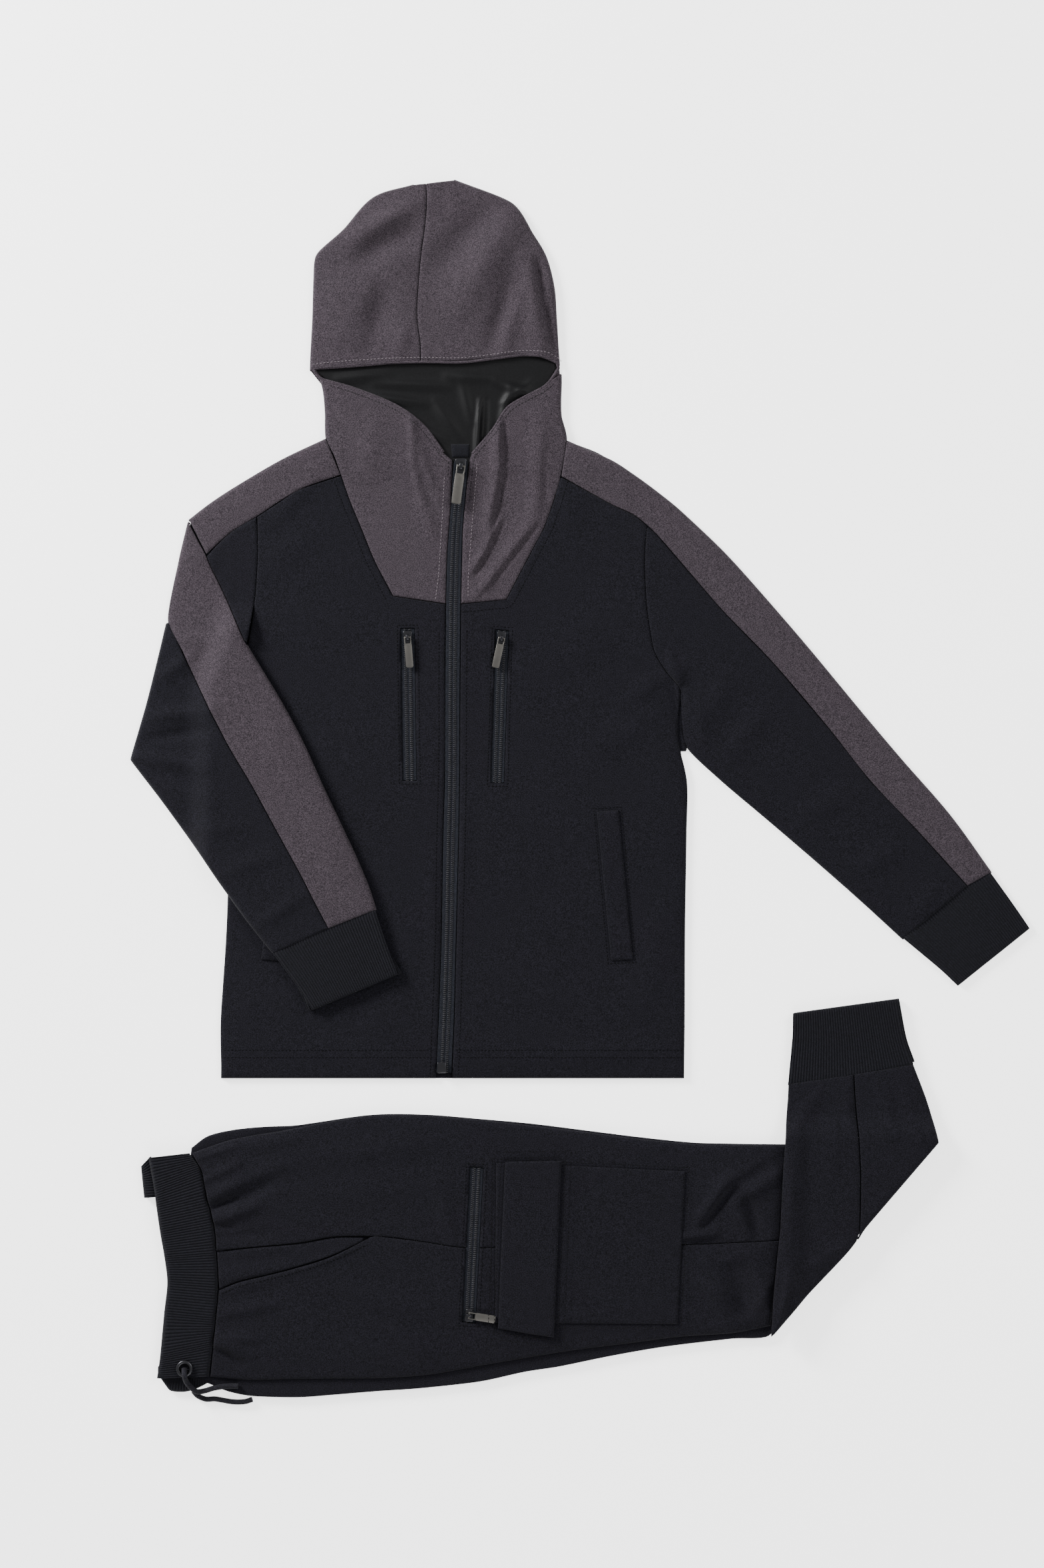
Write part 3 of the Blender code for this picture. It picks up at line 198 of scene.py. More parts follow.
# Soft folds of each layer: start x and y, end x and y, half width, rise; a trough's rise is negative
folds = {
    "jacket": (
        (43, 541, 42, 505, 5, 2.6), (42, 505, 33, 455, 5, 2.4), (47, 545, 47, 500, 2.2, -2.0),
        (47, 500, 37, 452, 2.0, -2.0), (42, 463, 30, 436, 4, 1.9), (30, 436, 21, 421, 4, 1.7),
        (45, 460, 33, 434, 1.8, -1.6), (33, 434, 23, 418, 1.8, -1.5), (76, 545, 77, 500, 8, 1.6),
        (77, 500, 70, 460, 7, 1.5), (70, 460, 44, 427, 6, 1.5), (44, 427, 24, 402, 5, 1.3),
        (81, 520, 80, 480, 2.2, -1.0), (74, 458, 48, 424, 2.0, -1.1), (48, 424, 28, 400, 1.8, -1.1),
        (38, 415, 30, 402, 2.5, 0.9), (-31, 551, -29, 512, 5, 2.2), (-29, 512, -22, 478, 5, 1.8),
        (-22, 478, -11, 452, 5, 1.3), (-34, 548, -33, 510, 1.8, -1.3), (-33, 510, -25, 476, 1.8, -1.1),
        (-24, 531, -14, 492, 4, 1.2), (-14, 492, -5, 478, 3.5, 0.9), (-58, 548, -66, 500, 9, 0.9),
        (75, 678, 78, 652, 3.0, -3.4), (78, 652, 90, 598, 3.2, -3.8), (66, 678, 80, 600, 8, 2.8),
        (37, 720, -12, 668, 13, -2.4), (54, 710, 10, 640, 15, 3.2), (54, 655, 36, 606, 8, -2.4),
        (-82, 694, -26, 724, 9, 2.6), (-84, 672, -28, 702, 10, -2.2), (-59, 664, -83, 631, 13, 1.8),
        (-52, 650, -64, 603, 9, -1.6), (58, 652, 46, 604, 6, 1.8), (-34, 625, -40, 600, 6, 1.2),
        (-70, 690, -98, 640, 12, 1.1), (-62, 612, -94, 622, 9, 0.8), (20, 700, 40, 660, 14, 0.7),
        (-50, 705, -40, 650, 10, 0.7), (10, 640, 50, 618, 12, 0.6), (184, 350, 193, 322, 4, 1.9),
        (193, 340, 200, 296, 5, 2.0), (187, 330, 190, 300, 2.4, -2.0), (206, 318, 212, 280, 5, 1.4),
        (176, 332, 150, 315, 8, 1.0), (165, 300, 120, 270, 12, 0.8), (230, 330, 215, 300, 10, 1.1),
        (260, 300, 232, 268, 9, 1.0), (330, 235, 290, 214, 10, 0.9), (372, 190, 340, 172, 8, 0.8),
        (405, 160, 385, 135, 7, 0.8), (150, 488, 157, 477, 2.2, -0.9), (144, 499, 154, 478, 4, 0.9),
        (110, 505, 100, 460, 12, 0.6), (60, 230, 150, 190, 22, 0.6), (30, 90, 110, 60, 18, 0.6),
        (60, 20, 180, 22, 9, 0.5), (160, 60, 186, 150, 14, 0.7), (-30, 120, -60, 30, 16, 0.6),
        (-150, 70, -40, 44, 15, 0.6), (-120, 300, -60, 240, 20, 0.7), (-150, 420, -110, 455, 12, 0.7),
        (-130, 380, -60, 372, 16, 0.5), (60, 330, 140, 380, 20, 0.6), (-145, 460, -110, 500, 8, 0.7),
        (12, 140, 16, 240, 5, 0.5), (-10, 60, -14, 190, 5, 0.5),
    ),
    "joggers": (
        (43, -23, 100, -7, 4, 0.7), (100, -7, 160, 16, 4, 0.7), (34, 46, 58, 56, 2.4, -2.4),
        (58, 56, 92, 72, 6, -1.6), (40, 38, 76, 50, 5, 2.0), (34, 57, 60, 68, 6, 2.0),
        (60, 68, 104, 86, 9, 1.1), (38, 34, 57, 31, 2.2, -1.5), (38, 24, 90, 27, 2.0, -0.9),
        (41, -10, 100, 0, 4, 1.1), (42, -40, 90, -32, 5, 1.2), (41, -60, 80, -60, 4, 1.2),
        (36, -60, 68, -74, 5, 1.8), (38, -68, 64, -83, 2.6, -2.2), (30, 70, 60, 84, 4, 1.2),
        (24, 88, 60, 100, 3, 1.0), (60, 12, 100, 15, 4, 0.8), (185, -53, 218, -79, 6, 1.4),
        (150, -60, 200, -88, 6, 0.9), (427, 24, 453, 27, 3.5, 2.2), (428, 20, 452, 22, 1.8, -1.3),
        (438, 36, 463, 70, 5, 2.2), (444, 33, 469, 66, 2.6, -2.4), (469, 66, 506, 88, 5, -1.5),
        (471, 54, 506, 76, 6, 1.8), (479, 57, 489, 25, 4, -2.2), (468, 50, 480, 28, 5, 1.5),
        (469, -8, 484, -49, 7, -2.0), (486, 0, 498, -42, 5, 1.8), (448, -6, 464, -46, 8, 1.2),
        (430, -10, 480, -30, 6, 1.3), (436, 2, 490, 10, 6, 1.0), (440, 60, 500, 84, 7, 1.2),
        (450, 80, 505, 50, 6, 0.9), (120, 90, 220, 100, 9, 0.9), (110, 60, 230, 66, 12, 0.6),
        (150, -20, 235, -40, 10, 0.7), (480, -48, 500, -10, 5, 1.3), (225, 70, 236, 20, 6, 0.7),
        (434, -54, 492, -44, 4, 1.0), (60, 98, 110, 106, 5, 0.9),
    ),
    "sleeve": (
        (-256, 268, -200, 258, 6, 1.9), (-250, 282, -196, 290, 4, -1.4), (-246, 300, -192, 306, 6, 1.7),
        (-240, 330, -210, 352, 6, 1.2), (-228, 366, -190, 360, 6, 1.0), (-245, 246, -196, 228, 7, 1.1),
        (-220, 205, -170, 208, 8, 0.9), (-190, 168, -140, 186, 7, 0.9), (-160, 125, -120, 152, 6, 1.0),
        (-222, 440, -196, 426, 5, 1.2), (-212, 452, -196, 436, 2.4, -1.0), (-150, 300, -128, 255, 9, 0.7),
        (-110, 215, -84, 172, 9, 0.7), (-130, 160, -96, 140, 7, 0.8), (-185, 400, -172, 372, 6, 1.0),
    ),
    "lining": (
        (-70, 566, -20, 560, 4, 1.4), (-60, 576, 0, 574, 4, 1.3), (27, 562, 24, 520, 2.4, 1.8),
        (32, 562, 30, 526, 2.0, -1.0), (40, 577, 78, 564, 4, 1.5), (46, 560, 70, 577, 3, 1.2),
        (-36, 548, -4, 530, 4, 1.2), (-10, 560, 10, 532, 5, 1.3), (0, 582, 40, 580, 4, 1.2),
        (-90, 580, -50, 584, 4, 1.2), (52, 572, 44, 545, 3, 1.2), (12, 576, 20, 545, 4, 1.0),
    ),
    "shin": (
        (506, -46, 514, 0, 3.5, 1.6), (511, 5, 516, 90, 3.5, 1.2), (516, 110, 540, 144, 5, 1.0),
        (560, 148, 566, 110, 4, 0.9), (590, 158, 600, 110, 6, 1.1), (606, 140, 628, 106, 5, 1.0),
        (580, 40, 628, 90, 6, 0.9), (530, 0, 560, 16, 6, 1.0), (545, 60, 552, 120, 8, 0.6),
    ),
    "under": (
        (-60, 60, 60, 90, 5, 0.8), (-80, 300, 90, 240, 6, 0.9), (120, 420, 60, 480, 5, 0.8),
        (-150, 380, -40, 440, 6, 0.8), (150, 120, 40, 170, 6, 0.7), (0, 640, 40, 700, 6, 0.8),
        (260, 300, 220, 360, 5, 0.8), (340, 190, 400, 230, 5, 0.7),
    ),
    "leg under": (
        (60, -40, 130, 20, 6, 0.6), (150, 60, 260, 90, 7, 0.6), (300, -40, 380, 10, 7, 0.6),
        (430, -30, 470, 60, 6, 0.7), (520, 60, 570, 90, 5, 0.6), (20, 60, 90, 90, 5, 0.6),
    ),
}

cornerCosines = (0.55, 0.85)  # a line stays sharp below the first and is soft above the second


def eased(value, low, high):
    t = min(max((value - low) / (high - low), 0.0), 1.0)
    return t * t * (3 - 2 * t)


def sideOf(rows, which, first, last):
    return [row[:2] if which == "a" else row[2:] for row in rows[first:last + 1]]


def softLine(points, perSpan):
    # a smooth line through the points, straight at a sharp corner
    out = []
    n = len(points)
    tangents = []
    for i in range(n):
        before, after = points[max(i - 1, 0)], points[min(i + 1, n - 1)]
        vx, vy = after[0] - before[0], after[1] - before[1]
        lenBefore = math.dist(points[i], before)
        lenAfter = math.dist(points[i], after)
        reach = math.hypot(vx, vy) or 1.0
        size = min(lenBefore or lenAfter, lenAfter or lenBefore)
        corner = 1.0
        if 0 < i < n - 1 and lenBefore and lenAfter:
            ax, ay = points[i][0] - before[0], points[i][1] - before[1]
            bx, by = after[0] - points[i][0], after[1] - points[i][1]
            corner = eased((ax * bx + ay * by) / (lenBefore * lenAfter), *cornerCosines)
        tangents.append((vx / reach * size * corner, vy / reach * size * corner))
    for i in range(n - 1):
        (px, py), (qx, qy) = points[i], points[i + 1]
        (mx, my), (kx, ky) = tangents[i], tangents[i + 1]
        for s in range(perSpan[i]):
            t = s / perSpan[i]
            a, b, c, d = 2 * t**3 - 3 * t**2 + 1, t**3 - 2 * t**2 + t, -2 * t**3 + 3 * t**2, t**3 - t**2
            out.append((a * px + b * mx + c * qx + d * kx, a * py + b * my + c * qy + d * ky))
    out.append(points[-1])
    return out


def evenLine(points, perSpan):
    return softLine(points, [perSpan] * (len(points) - 1))


def sideSpans(p, q):
    # how far two rows lie apart on each side
    return math.dist(p[:2], q[:2]), math.dist(p[2:], q[2:])


def meanSpan(p, q):
    left, right = sideSpans(p, q)
    return (left + right) / 2


def widestOf(rows):
    return max(math.dist(row[:2], row[2:]) for row in rows)


def rowMiddle(row):
    return (row[0] + row[2]) / 2, (row[1] + row[3]) / 2


def rowsBetween(rows, perSpan):
    left = softLine([row[:2] for row in rows], perSpan)
    right = softLine([row[2:] for row in rows], perSpan)
    return [(*a, *b) for a, b in zip(left, right)]


def fineRows(rows, step):
    # the same number of rows on both sides, close enough for the step
    return rowsBetween(rows, [max(1, round(max(sideSpans(p, q)) / step)) for p, q in zip(rows, rows[1:])])


allPanels = {**jacketPanels, **joggersPanels}


def sideLine(name, which, first, last, perSpan=5):
    return evenLine(sideOf(allPanels[name], which, first, last), perSpan)


shoreLines = {layer: [sideLine(*spec, 4) for spec in specs] for layer, specs in shores.items()}
shoreLines["jacket"].append([(-188, 1), (196, 1)])
turnedLines = {}
for turned in turnedEdges:
    turnedLines.setdefault(turned[0], []).append(sideLine(*turned, 4))


def nearest(x, y, line):
    # the distance to a line, and how far along its nearest stretch that is
    best, place = 1e9, 0.0
    ax, ay = line[0]
    for bx, by in line[1:]:
        dx, dy = bx - ax, by - ay
        t = ((x - ax) * dx + (y - ay) * dy) / (dx * dx + dy * dy + 1e-9)
        t = 0.0 if t < 0 else 1.0 if t > 1 else t
        ex, ey = x - ax - t * dx, y - ay - t * dy
        away = ex * ex + ey * ey
        if away < best:
            best, place = away, t
        ax, ay = bx, by
    return math.sqrt(best), place


# Shores and folds are kept by the square of cloth they reach, so that each point looks at few of them
square = 24.0
shoreReach = 26.0
foldReach = 2.6  # in half widths
foldStrength = 1.75
foldEnds = 0.45  # of a fold's height that is left at its ends
softness = {
    "jacket": {"lift": 2.0, "edge": 26}, "sleeve": {"lift": 2.0, "edge": 20},
    "joggers": {"lift": 1.6, "edge": 22}, "shin": {"lift": 1.4, "edge": 18},
}


def squareOf(x, y):
    return math.floor(x / square), math.floor(y / square)


def squaresAround(ax, ay, bx, by, reach):
    firstI, firstJ = squareOf(min(ax, bx) - reach, min(ay, by) - reach)
    lastI, lastJ = squareOf(max(ax, bx) + reach, max(ay, by) + reach)
    return [(i, j) for i in range(firstI, lastI + 1) for j in range(firstJ, lastJ + 1)]


nearShores, nearFolds = {}, {}
for layerName, lines in shoreLines.items():
    for line in lines:
        for start, end in zip(line, line[1:]):
            for i, j in squaresAround(*start, *end, shoreReach):
                nearShores.setdefault((layerName, i, j), []).append((start, end))
for layerName, layerFolds in folds.items():
    for fold in layerFolds:
        for i, j in squaresAround(*fold[:4], foldReach * fold[4]):
            nearFolds.setdefault((layerName, i, j), []).append(fold)


def roundedEdge(x, y, layer):
    close = nearShores.get((layer, *squareOf(x, y)))
    if not close:
        return 1.0
    t = min(min(nearest(x, y, piece)[0] for piece in close) / softness[layer]["edge"], 1.0)
    return math.sqrt(1 - (1 - t) ** 2)


def foldRise(x, y, layer):
    rise = 0.0
    for ax, ay, bx, by, width, height in nearFolds.get((layer, *squareOf(x, y)), ()):
        away, t = nearest(x, y, ((ax, ay), (bx, by)))
        arched = foldEnds + (1 - foldEnds) * math.sin(math.pi * t)
        rise += foldStrength * height * arched * math.exp(-(away / width) ** 2)
    return rise


def unevenness(x, y):
    # the shallow waves of cloth that was smoothed out by hand
    across = math.sin(x * 0.045 + 1.3 * math.sin(y * 0.021))
    return 0.22 * across * math.sin(y * 0.037 + 0.8 * math.cos(x * 0.017))


def softRise(x, y, layer, waves=1.0):
    # the cloth's rise over its solid, rounded down at the silhouette
    rise = softness[layer]["lift"] + foldRise(x, y, layer) + waves * unevenness(x, y)
    return rise * roundedEdge(x, y, layer)


hoodFoot = (488, 512)  # where the jacket's front gives way to the hood over its lining
backEdge = sideOf(jacketPanels["jacket_back"], "a", 0, 8)
besideBody = (5, 22)  # the folded sleeve comes down from the front between these, beside the body
belowShoulder = (362, 383)  # and between these, up at the shoulder
thighEnd = (516, 532)  # the folded shin comes down from the thigh between these
thighSide = (104, 128)
thighCloth = 2.4  # over the leg's hidden layers, under the folded shin
liningLift = 0.6
backDrop = 0.1
underLift = 0.02


def jacketTop(x, y):
    return frontTop + liningRise * eased(y, *hoodFoot) + softRise(x, y, "jacket")


def bodySide(y):
    for (ax, ay), (bx, by) in zip(backEdge, backEdge[1:]):
        if ay <= y <= by:
            return ax + (bx - ax) * (y - ay) / (by - ay)
    return backEdge[0][0] if y < backEdge[0][1] else backEdge[-1][0]


def cover(x, y, spread=0.0):
    beside = eased(bodySide(y) - x, besideBody[0] + spread, besideBody[1] + 2 * spread)
    return coverRise * (1 - beside) * (1 - eased(y, belowShoulder[0] + spread, belowShoulder[1] + 2 * spread))


def sleeveTop(x, y):
    return cover(x, y, stepSpread) + frontTop + softRise(x, y, "sleeve")


def joggersTop(x, y):
    return legTop + softRise(x, y, "joggers")


def shinBase(x, y):
    onThigh = legCore + seamGap + (wall + thighCloth) * (1 - eased(x, *thighEnd))
    return onThigh * (1 - eased(y, *thighSide))


def shinTop(x, y):
    return shinBase(x, y) + shinCore + shinGap + wall + softRise(x, y, "shin", 0.0)


def liningTop(x, y):
    return wall + liningRise + max(0.0, liningLift + foldRise(x, y, "lining"))


def backTop(x, y):
    return wall - backDrop + foldRise(x, y, "under")


def underTop(x, y):
    return cover(x, y) + wall + underLift


def ground(x, y):
    return 0.0


def heightAbove(base, rise):
    return lambda x, y: base(x, y) + rise


tops = {
    "jacket_back": backTop, "hood_back": backTop, "hood_lining": liningTop,
    "sleeve_left_back": heightAbove(backTop, 0.12), "sleeve_right_under": underTop,
    "sleeve_right_front": sleeveTop, "sleeve_right_back": sleeveTop, "stripe_right": sleeveTop,
    "leg_back": joggersTop, "leg_front": joggersTop, "hip_pocket": heightAbove(joggersTop, -1.1),
    "shin_back": shinTop, "shin_front": shinTop,
}


def colour(*shade):
    # a colour as read in the photo, turned to the shader's scale
    parts = (c / 255 for c in shade)
    return (*(c / 12.92 if c <= 0.04045 else ((c + 0.055) / 1.055) ** 2.4 for c in parts), 1)


clothFinishes = {
    "blackCloth": {"slot": "black_cloth", "dark": (2, 2, 4), "light": (25, 24, 31), "grain": 1300.0,
                   "rough": 0.9, "sheen": 0.02, "specular": 0.08, "bump": 0.3},
    "greyCloth": {"slot": "grey_cloth", "dark": (28, 24, 28), "light": (66, 59, 65), "grain": 1250.0,
                  "rough": 0.92, "sheen": 0.02, "specular": 0.08, "bump": 0.3},
    "blackRib": {"slot": "black_rib", "dark": (1, 1, 3), "light": (20, 20, 27), "grain": 1700.0,
                 "rough": 0.85, "sheen": 0.03, "specular": 0.1, "bump": 0.2},
    "lining": {"slot": "lining", "dark": (1, 1, 2), "light": (6, 6, 8), "grain": 900.0,
               "rough": 0.56, "sheen": 0.0, "specular": 0.15, "bump": 0.1},
    "zipTape": {"slot": "zip_tape", "dark": (8, 9, 13), "light": (31, 33, 40), "grain": 1600.0,
                "rough": 0.85, "sheen": 0.01, "specular": 0.1, "bump": 0.2},
    "cord": {"slot": "cord", "dark": (3, 3, 5), "light": (30, 29, 36), "grain": 1100.0,
             "rough": 0.85, "sheen": 0.02, "specular": 0.12, "bump": 0.35},
    "blackThread": {"slot": "black_cloth", "dark": (1, 1, 1), "light": (9, 9, 11), "grain": 2500.0,
                    "rough": 0.6, "sheen": 0.0, "specular": 0.08, "bump": 0.1},
    "greyThread": {"slot": "grey_cloth", "dark": (82, 75, 80), "light": (116, 108, 113), "grain": 2500.0,
                   "rough": 0.6, "sheen": 0.0, "specular": 0.2, "bump": 0.1},
    "darkThread": {"slot": "grey_cloth", "dark": (8, 7, 9), "light": (26, 23, 26), "grain": 2500.0,
                   "rough": 0.6, "sheen": 0.0, "specular": 0.2, "bump": 0.1},
    "zipTeeth": {"slot": "zip_tape", "dark": (6, 6, 9), "light": (30, 30, 36), "grain": 600.0,
                 "rough": 0.45, "sheen": 0.0, "specular": 0.3, "bump": 0.05},
}
metalFinishes = {
    "sliderMetal": {"slot": "gunmetal", "shade": (52, 52, 55), "rough": 0.28, "metal": 0.95},
    "tabMetal": {"slot": "gunmetal", "shade": (84, 82, 79), "rough": 0.4, "metal": 0.85},
}


def startMaterial(name):
    made = bpy.data.materials.new(name)
    made.use_nodes = True
    tree = made.node_tree
    return made, tree.nodes["Principled BSDF"], tree.nodes, tree.links


def setInputs(node, values):
    for socket, value in values.items():
        node.inputs[socket].default_value = value
    return node


weave = {"patchScale": 0.16, "patchShare": 0.1, "darkAt": 0.43, "lightAt": 0.7, "depth": 0.4}


def makeCloth(name, spec):
    # two sizes of noise, blended, colour the cloth; the finer one is its grain
    made, shader, nodes, links = startMaterial(name)
    setInputs(shader, {"Roughness": spec["rough"], "Sheen Weight": spec["sheen"], "Sheen Roughness": 0.6,
                       "Specular IOR Level": spec["specular"]})
    place = nodes.new("ShaderNodeTexCoord")
    grain = setInputs(nodes.new("ShaderNodeTexNoise"),
                      {"Scale": spec["grain"], "Detail": 3.0, "Roughness": 0.7})
    patches = setInputs(nodes.new("ShaderNodeTexNoise"),
                        {"Scale": spec["grain"] * weave["patchScale"], "Detail": 4.0})
    blend = setInputs(nodes.new("ShaderNodeMath"), {1: weave["patchShare"]})
    blend.operation = "MULTIPLY_ADD"
    ramp = nodes.new("ShaderNodeValToRGB")
    for stop, which in zip(ramp.color_ramp.elements, ("dark", "light")):
        stop.position = weave[f"{which}At"]
        stop.color = colour(*spec[which])
    bump = setInputs(nodes.new("ShaderNodeBump"), {"Strength": spec["bump"], "Distance": weave["depth"] * mm})
    for noise in (grain, patches):
        links.new(place.outputs["Object"], noise.inputs["Vector"])
    links.new(patches.outputs["Fac"], blend.inputs[0])
    links.new(grain.outputs["Fac"], blend.inputs[2])
    links.new(blend.outputs[0], ramp.inputs["Fac"])
    links.new(ramp.outputs["Color"], shader.inputs["Base Color"])
    links.new(grain.outputs["Fac"], bump.inputs["Height"])
    links.new(bump.outputs["Normal"], shader.inputs["Normal"])
    return made


polish = {"scale": 260.0, "smoother": 0.07, "rougher": 0.1}


def makeMetal(name, spec):
    made, shader, nodes, links = startMaterial(name)
    setInputs(shader, {"Base Color": colour(*spec["shade"]), "Metallic": spec["metal"]})
    place = nodes.new("ShaderNodeTexCoord")
    wear = setInputs(nodes.new("ShaderNodeTexNoise"), {"Scale": polish["scale"]})
    span = setInputs(nodes.new("ShaderNodeMapRange"),
                     {"To Min": spec["rough"] - polish["smoother"],
                      "To Max": spec["rough"] + polish["rougher"]})
    links.new(place.outputs["Object"], wear.inputs["Vector"])
    links.new(wear.outputs["Fac"], span.inputs["Value"])
    links.new(span.outputs["Result"], shader.inputs["Roughness"])
    return made


finishes = {name: (makeCloth(name, spec), spec["slot"]) for name, spec in clothFinishes.items()}
finishes.update({name: (makeMetal(name, spec), spec["slot"]) for name, spec in metalFinishes.items()})
print("finishes:", len(finishes))


def onStage(name, data):
    made = bpy.data.objects.new(name, data)
    bpy.context.scene.collection.objects.link(made)
    return made


def placed(x, y, z, garment):
    atX, atY = garmentAt[garment]
    return ((x + atX) * mm, (y + atY) * mm, z * mm)


def addPiece(name, bm, finish, garment, replaced=(), body="garments", thickness=0.0):
    for vertex in bm.verts:
        vertex.co = placed(*vertex.co, garment)
    for face in bm.faces:
        face.smooth = True
    mesh = bpy.data.meshes.new(name)
    bm.to_mesh(mesh)
    bm.free()
    piece = onStage(name, mesh)
    made, slotName = finishes[finish]
    mesh.materials.append(made)
    if thickness:
        solidify = piece.modifiers.new("wall", "SOLIDIFY")
        solidify.thickness = thickness * mm
        solidify.offset = -1
    if replaced:
        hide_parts(*replaced)
    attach(piece, body)
    return piece


leastFill = 0.31  # of a cut's width times its length


def cutOf(rows, layers=1):
    # width, length and area of a cut, in metres
    width = widestOf(rows)
    middles = [rowMiddle(row) for row in rows]
    length = sum(math.dist(p, q) for p, q in zip(middles, middles[1:])) * layers
    area = 0.0
    for p, q in zip(rows, rows[1:]):
        corners = (p[:2], p[2:], q[2:], q[:2])
        area += abs(sum(a[0] * b[1] - b[0] * a[1] for a, b in zip(corners, corners[1:] + corners[:1]))) / 2
    area = min(max(area * layers, leastFill * width * length), width * length)
    return width * mm, length * mm, area * mm * mm


def declareCloth(piece, rows, layers=1, opened=1.0):
    # opened, how far a rib is cut wider than it lies as its ribs open, is not used
    width, length, area = cutOf(rows, layers)


def blendRows(first, second, t):
    return tuple(a + (b - a) * t for a, b in zip(first, second))


def rollRows(rows, inset):
    # extra rows close to both ends, and the ends themselves drawn in
    out = list(rows)
    for _ in range(2):
        span = max(*sideSpans(out[0], out[1]), 0.01)
        places = [place for place in (inset, inset + 0.65, inset + 1.65) if place < span * 0.95]
        extra = [blendRows(out[0], out[1], min(place / span, 0.9)) for place in places]
        out = (extra or [out[0]]) + out[1:]
        out.reverse()
    return out


bowReach = 22.0


def bowed(x, y, u, ends, along, bows):
    # the first and last rows curve outwards by their bow, and the rows near them follow
    for ((px, py), (qx, qy)), distance, bow in zip(ends, along, bows):
        if bow and distance < bowReach:
            length = math.hypot(px - qx, py - qy) or 1.0
            height, peak = bow if isinstance(bow, tuple) else (bow, 0.5)
            t = u ** (math.log(0.5) / math.log(peak))
            push = height * math.sin(math.pi * min(max(t, 0.0), 1.0)) * (1 - distance / bowReach)
            x, y = x + (px - qx) / length * push, y + (py - qy) / length * push
    return x, y


def endMiddles(rows):
    far = min(3, len(rows) - 1)
    return ((rowMiddle(rows[0]), rowMiddle(rows[far])), (rowMiddle(rows[-1]), rowMiddle(rows[-1 - far])))


clearance = 0.05


def aboveFloor(z):
    return max(z, shell + clearance)


def alongRows(rows, spanOf):
    along = [0.0]
    for p, q in zip(rows, rows[1:]):
        along.append(along[-1] + spanOf(p, q))
    return along


def gridOver(bm, rows, columns):
    # each vertex of a grid laid over the rows, with its row's number, its share across and its row
    last = len(rows) - 1
    bmesh.ops.create_grid(bm, x_segments=columns, y_segments=last, size=0.5)
    for vertex in bm.verts:
        index = round((vertex.co.y + 0.5) * last)
        yield vertex, index, vertex.co.x + 0.5, rows[index]


def faceUp(bm):
    bm.normal_update()
    if sum(face.normal.z for face in bm.faces) < 0:
        bmesh.ops.reverse_faces(bm, faces=bm.faces)
    return bm


seam = {"offsets": (0.25, 0.9, 1.9, 3.3), "rollDepth": 0.85, "rollWidth": 2.6}


def sheetGrid(rows, columns, top, inset=0.25, roll=True, bows=(0.0, 0.0)):
    # an open sheet between the two sides of its rows, its edges rolled down into the seams
    rows = rollRows(rows, inset)
    along = alongRows(rows, lambda p, q: max(sideSpans(p, q)))
    ends = endMiddles(rows)
    edge = [offset - seam["offsets"][0] + inset for offset in seam["offsets"]]
    columns = max(columns, 2 * len(edge))
    bm = bmesh.new()
    for vertex, index, share, (ax, ay, bx, by) in gridOver(bm, rows, columns):
        k = round(share * columns)
        width = math.hypot(bx - ax, by - ay) or 1e-6
        shrink = min(1.0, width / (edge[-1] * 4))
        if k < len(edge):
            inward = edge[k] * shrink
        elif columns - k < len(edge):
            inward = width - edge[columns - k] * shrink
        else:
            reach = edge[-1] * shrink
            inward = reach + (width - 2 * reach) * (k - len(edge) + 1) / (columns - 2 * len(edge) + 2)
        u = inward / width
        fromEnds = (along[index], along[-1] - along[index])
        x, y = bowed(ax + (bx - ax) * u, ay + (by - ay) * u, u, ends, fromEnds, bows)
        away = min(inward, width - inward, *fromEnds)
        z = top(x, y)
        if roll:
            z -= seam["rollDepth"] * (1 - min(away / seam["rollWidth"], 1.0)) ** 2
        vertex.co = (x, y, aboveFloor(z))
    return faceUp(bm)


sideReach = 1.3  # how near an edge lies to the silhouette that it turns down at
sideBulge = 0.9
sideTuck = 0.4  # of the bulge, drawn back in below


def turnDown(bm, lines, low):
    # where the cloth runs on round the silhouette, its edge turns down to the underside
    edges = [e for e in bm.edges if len(e.link_faces) == 1
             and all(min(nearest(v.co.x, v.co.y, line)[0] for line in lines) < sideReach for v in e.verts)]
    if not edges:
        return
    for share, out in ((0.5, sideBulge), (1.0, -sideTuck * sideBulge)):
        outward = {}
        for edge in edges:
            a, b = (v.co for v in edge.verts)
            normal = Vector((a.y - b.y, b.x - a.x, 0.0))
            normal.normalize()
            inner = edge.link_faces[0].calc_center_median()
            if normal.dot(inner - (a + b) / 2) > 0:
                normal = -normal
            for vertex in edge.verts:
                outward.setdefault(vertex, Vector()).__iadd__(normal)
        made = bmesh.ops.extrude_edge_only(bm, edges=edges)
        fresh = [g for g in made["geom"] if isinstance(g, bmesh.types.BMVert)]
        edges = [g for g in made["geom"]
                 if isinstance(g, bmesh.types.BMEdge) and all(v in fresh for v in g.verts)]
        pushes = {old.co.to_tuple(4): normal for old, normal in outward.items()}
        for vertex in fresh:
            push = pushes.get(vertex.co.to_tuple(4), Vector())
            if push.length > 1e-6:
                push = push.normalized()
            drop = (vertex.co.z - low(vertex.co.x, vertex.co.y)) * share
            vertex.co += push * out
            vertex.co.z -= drop


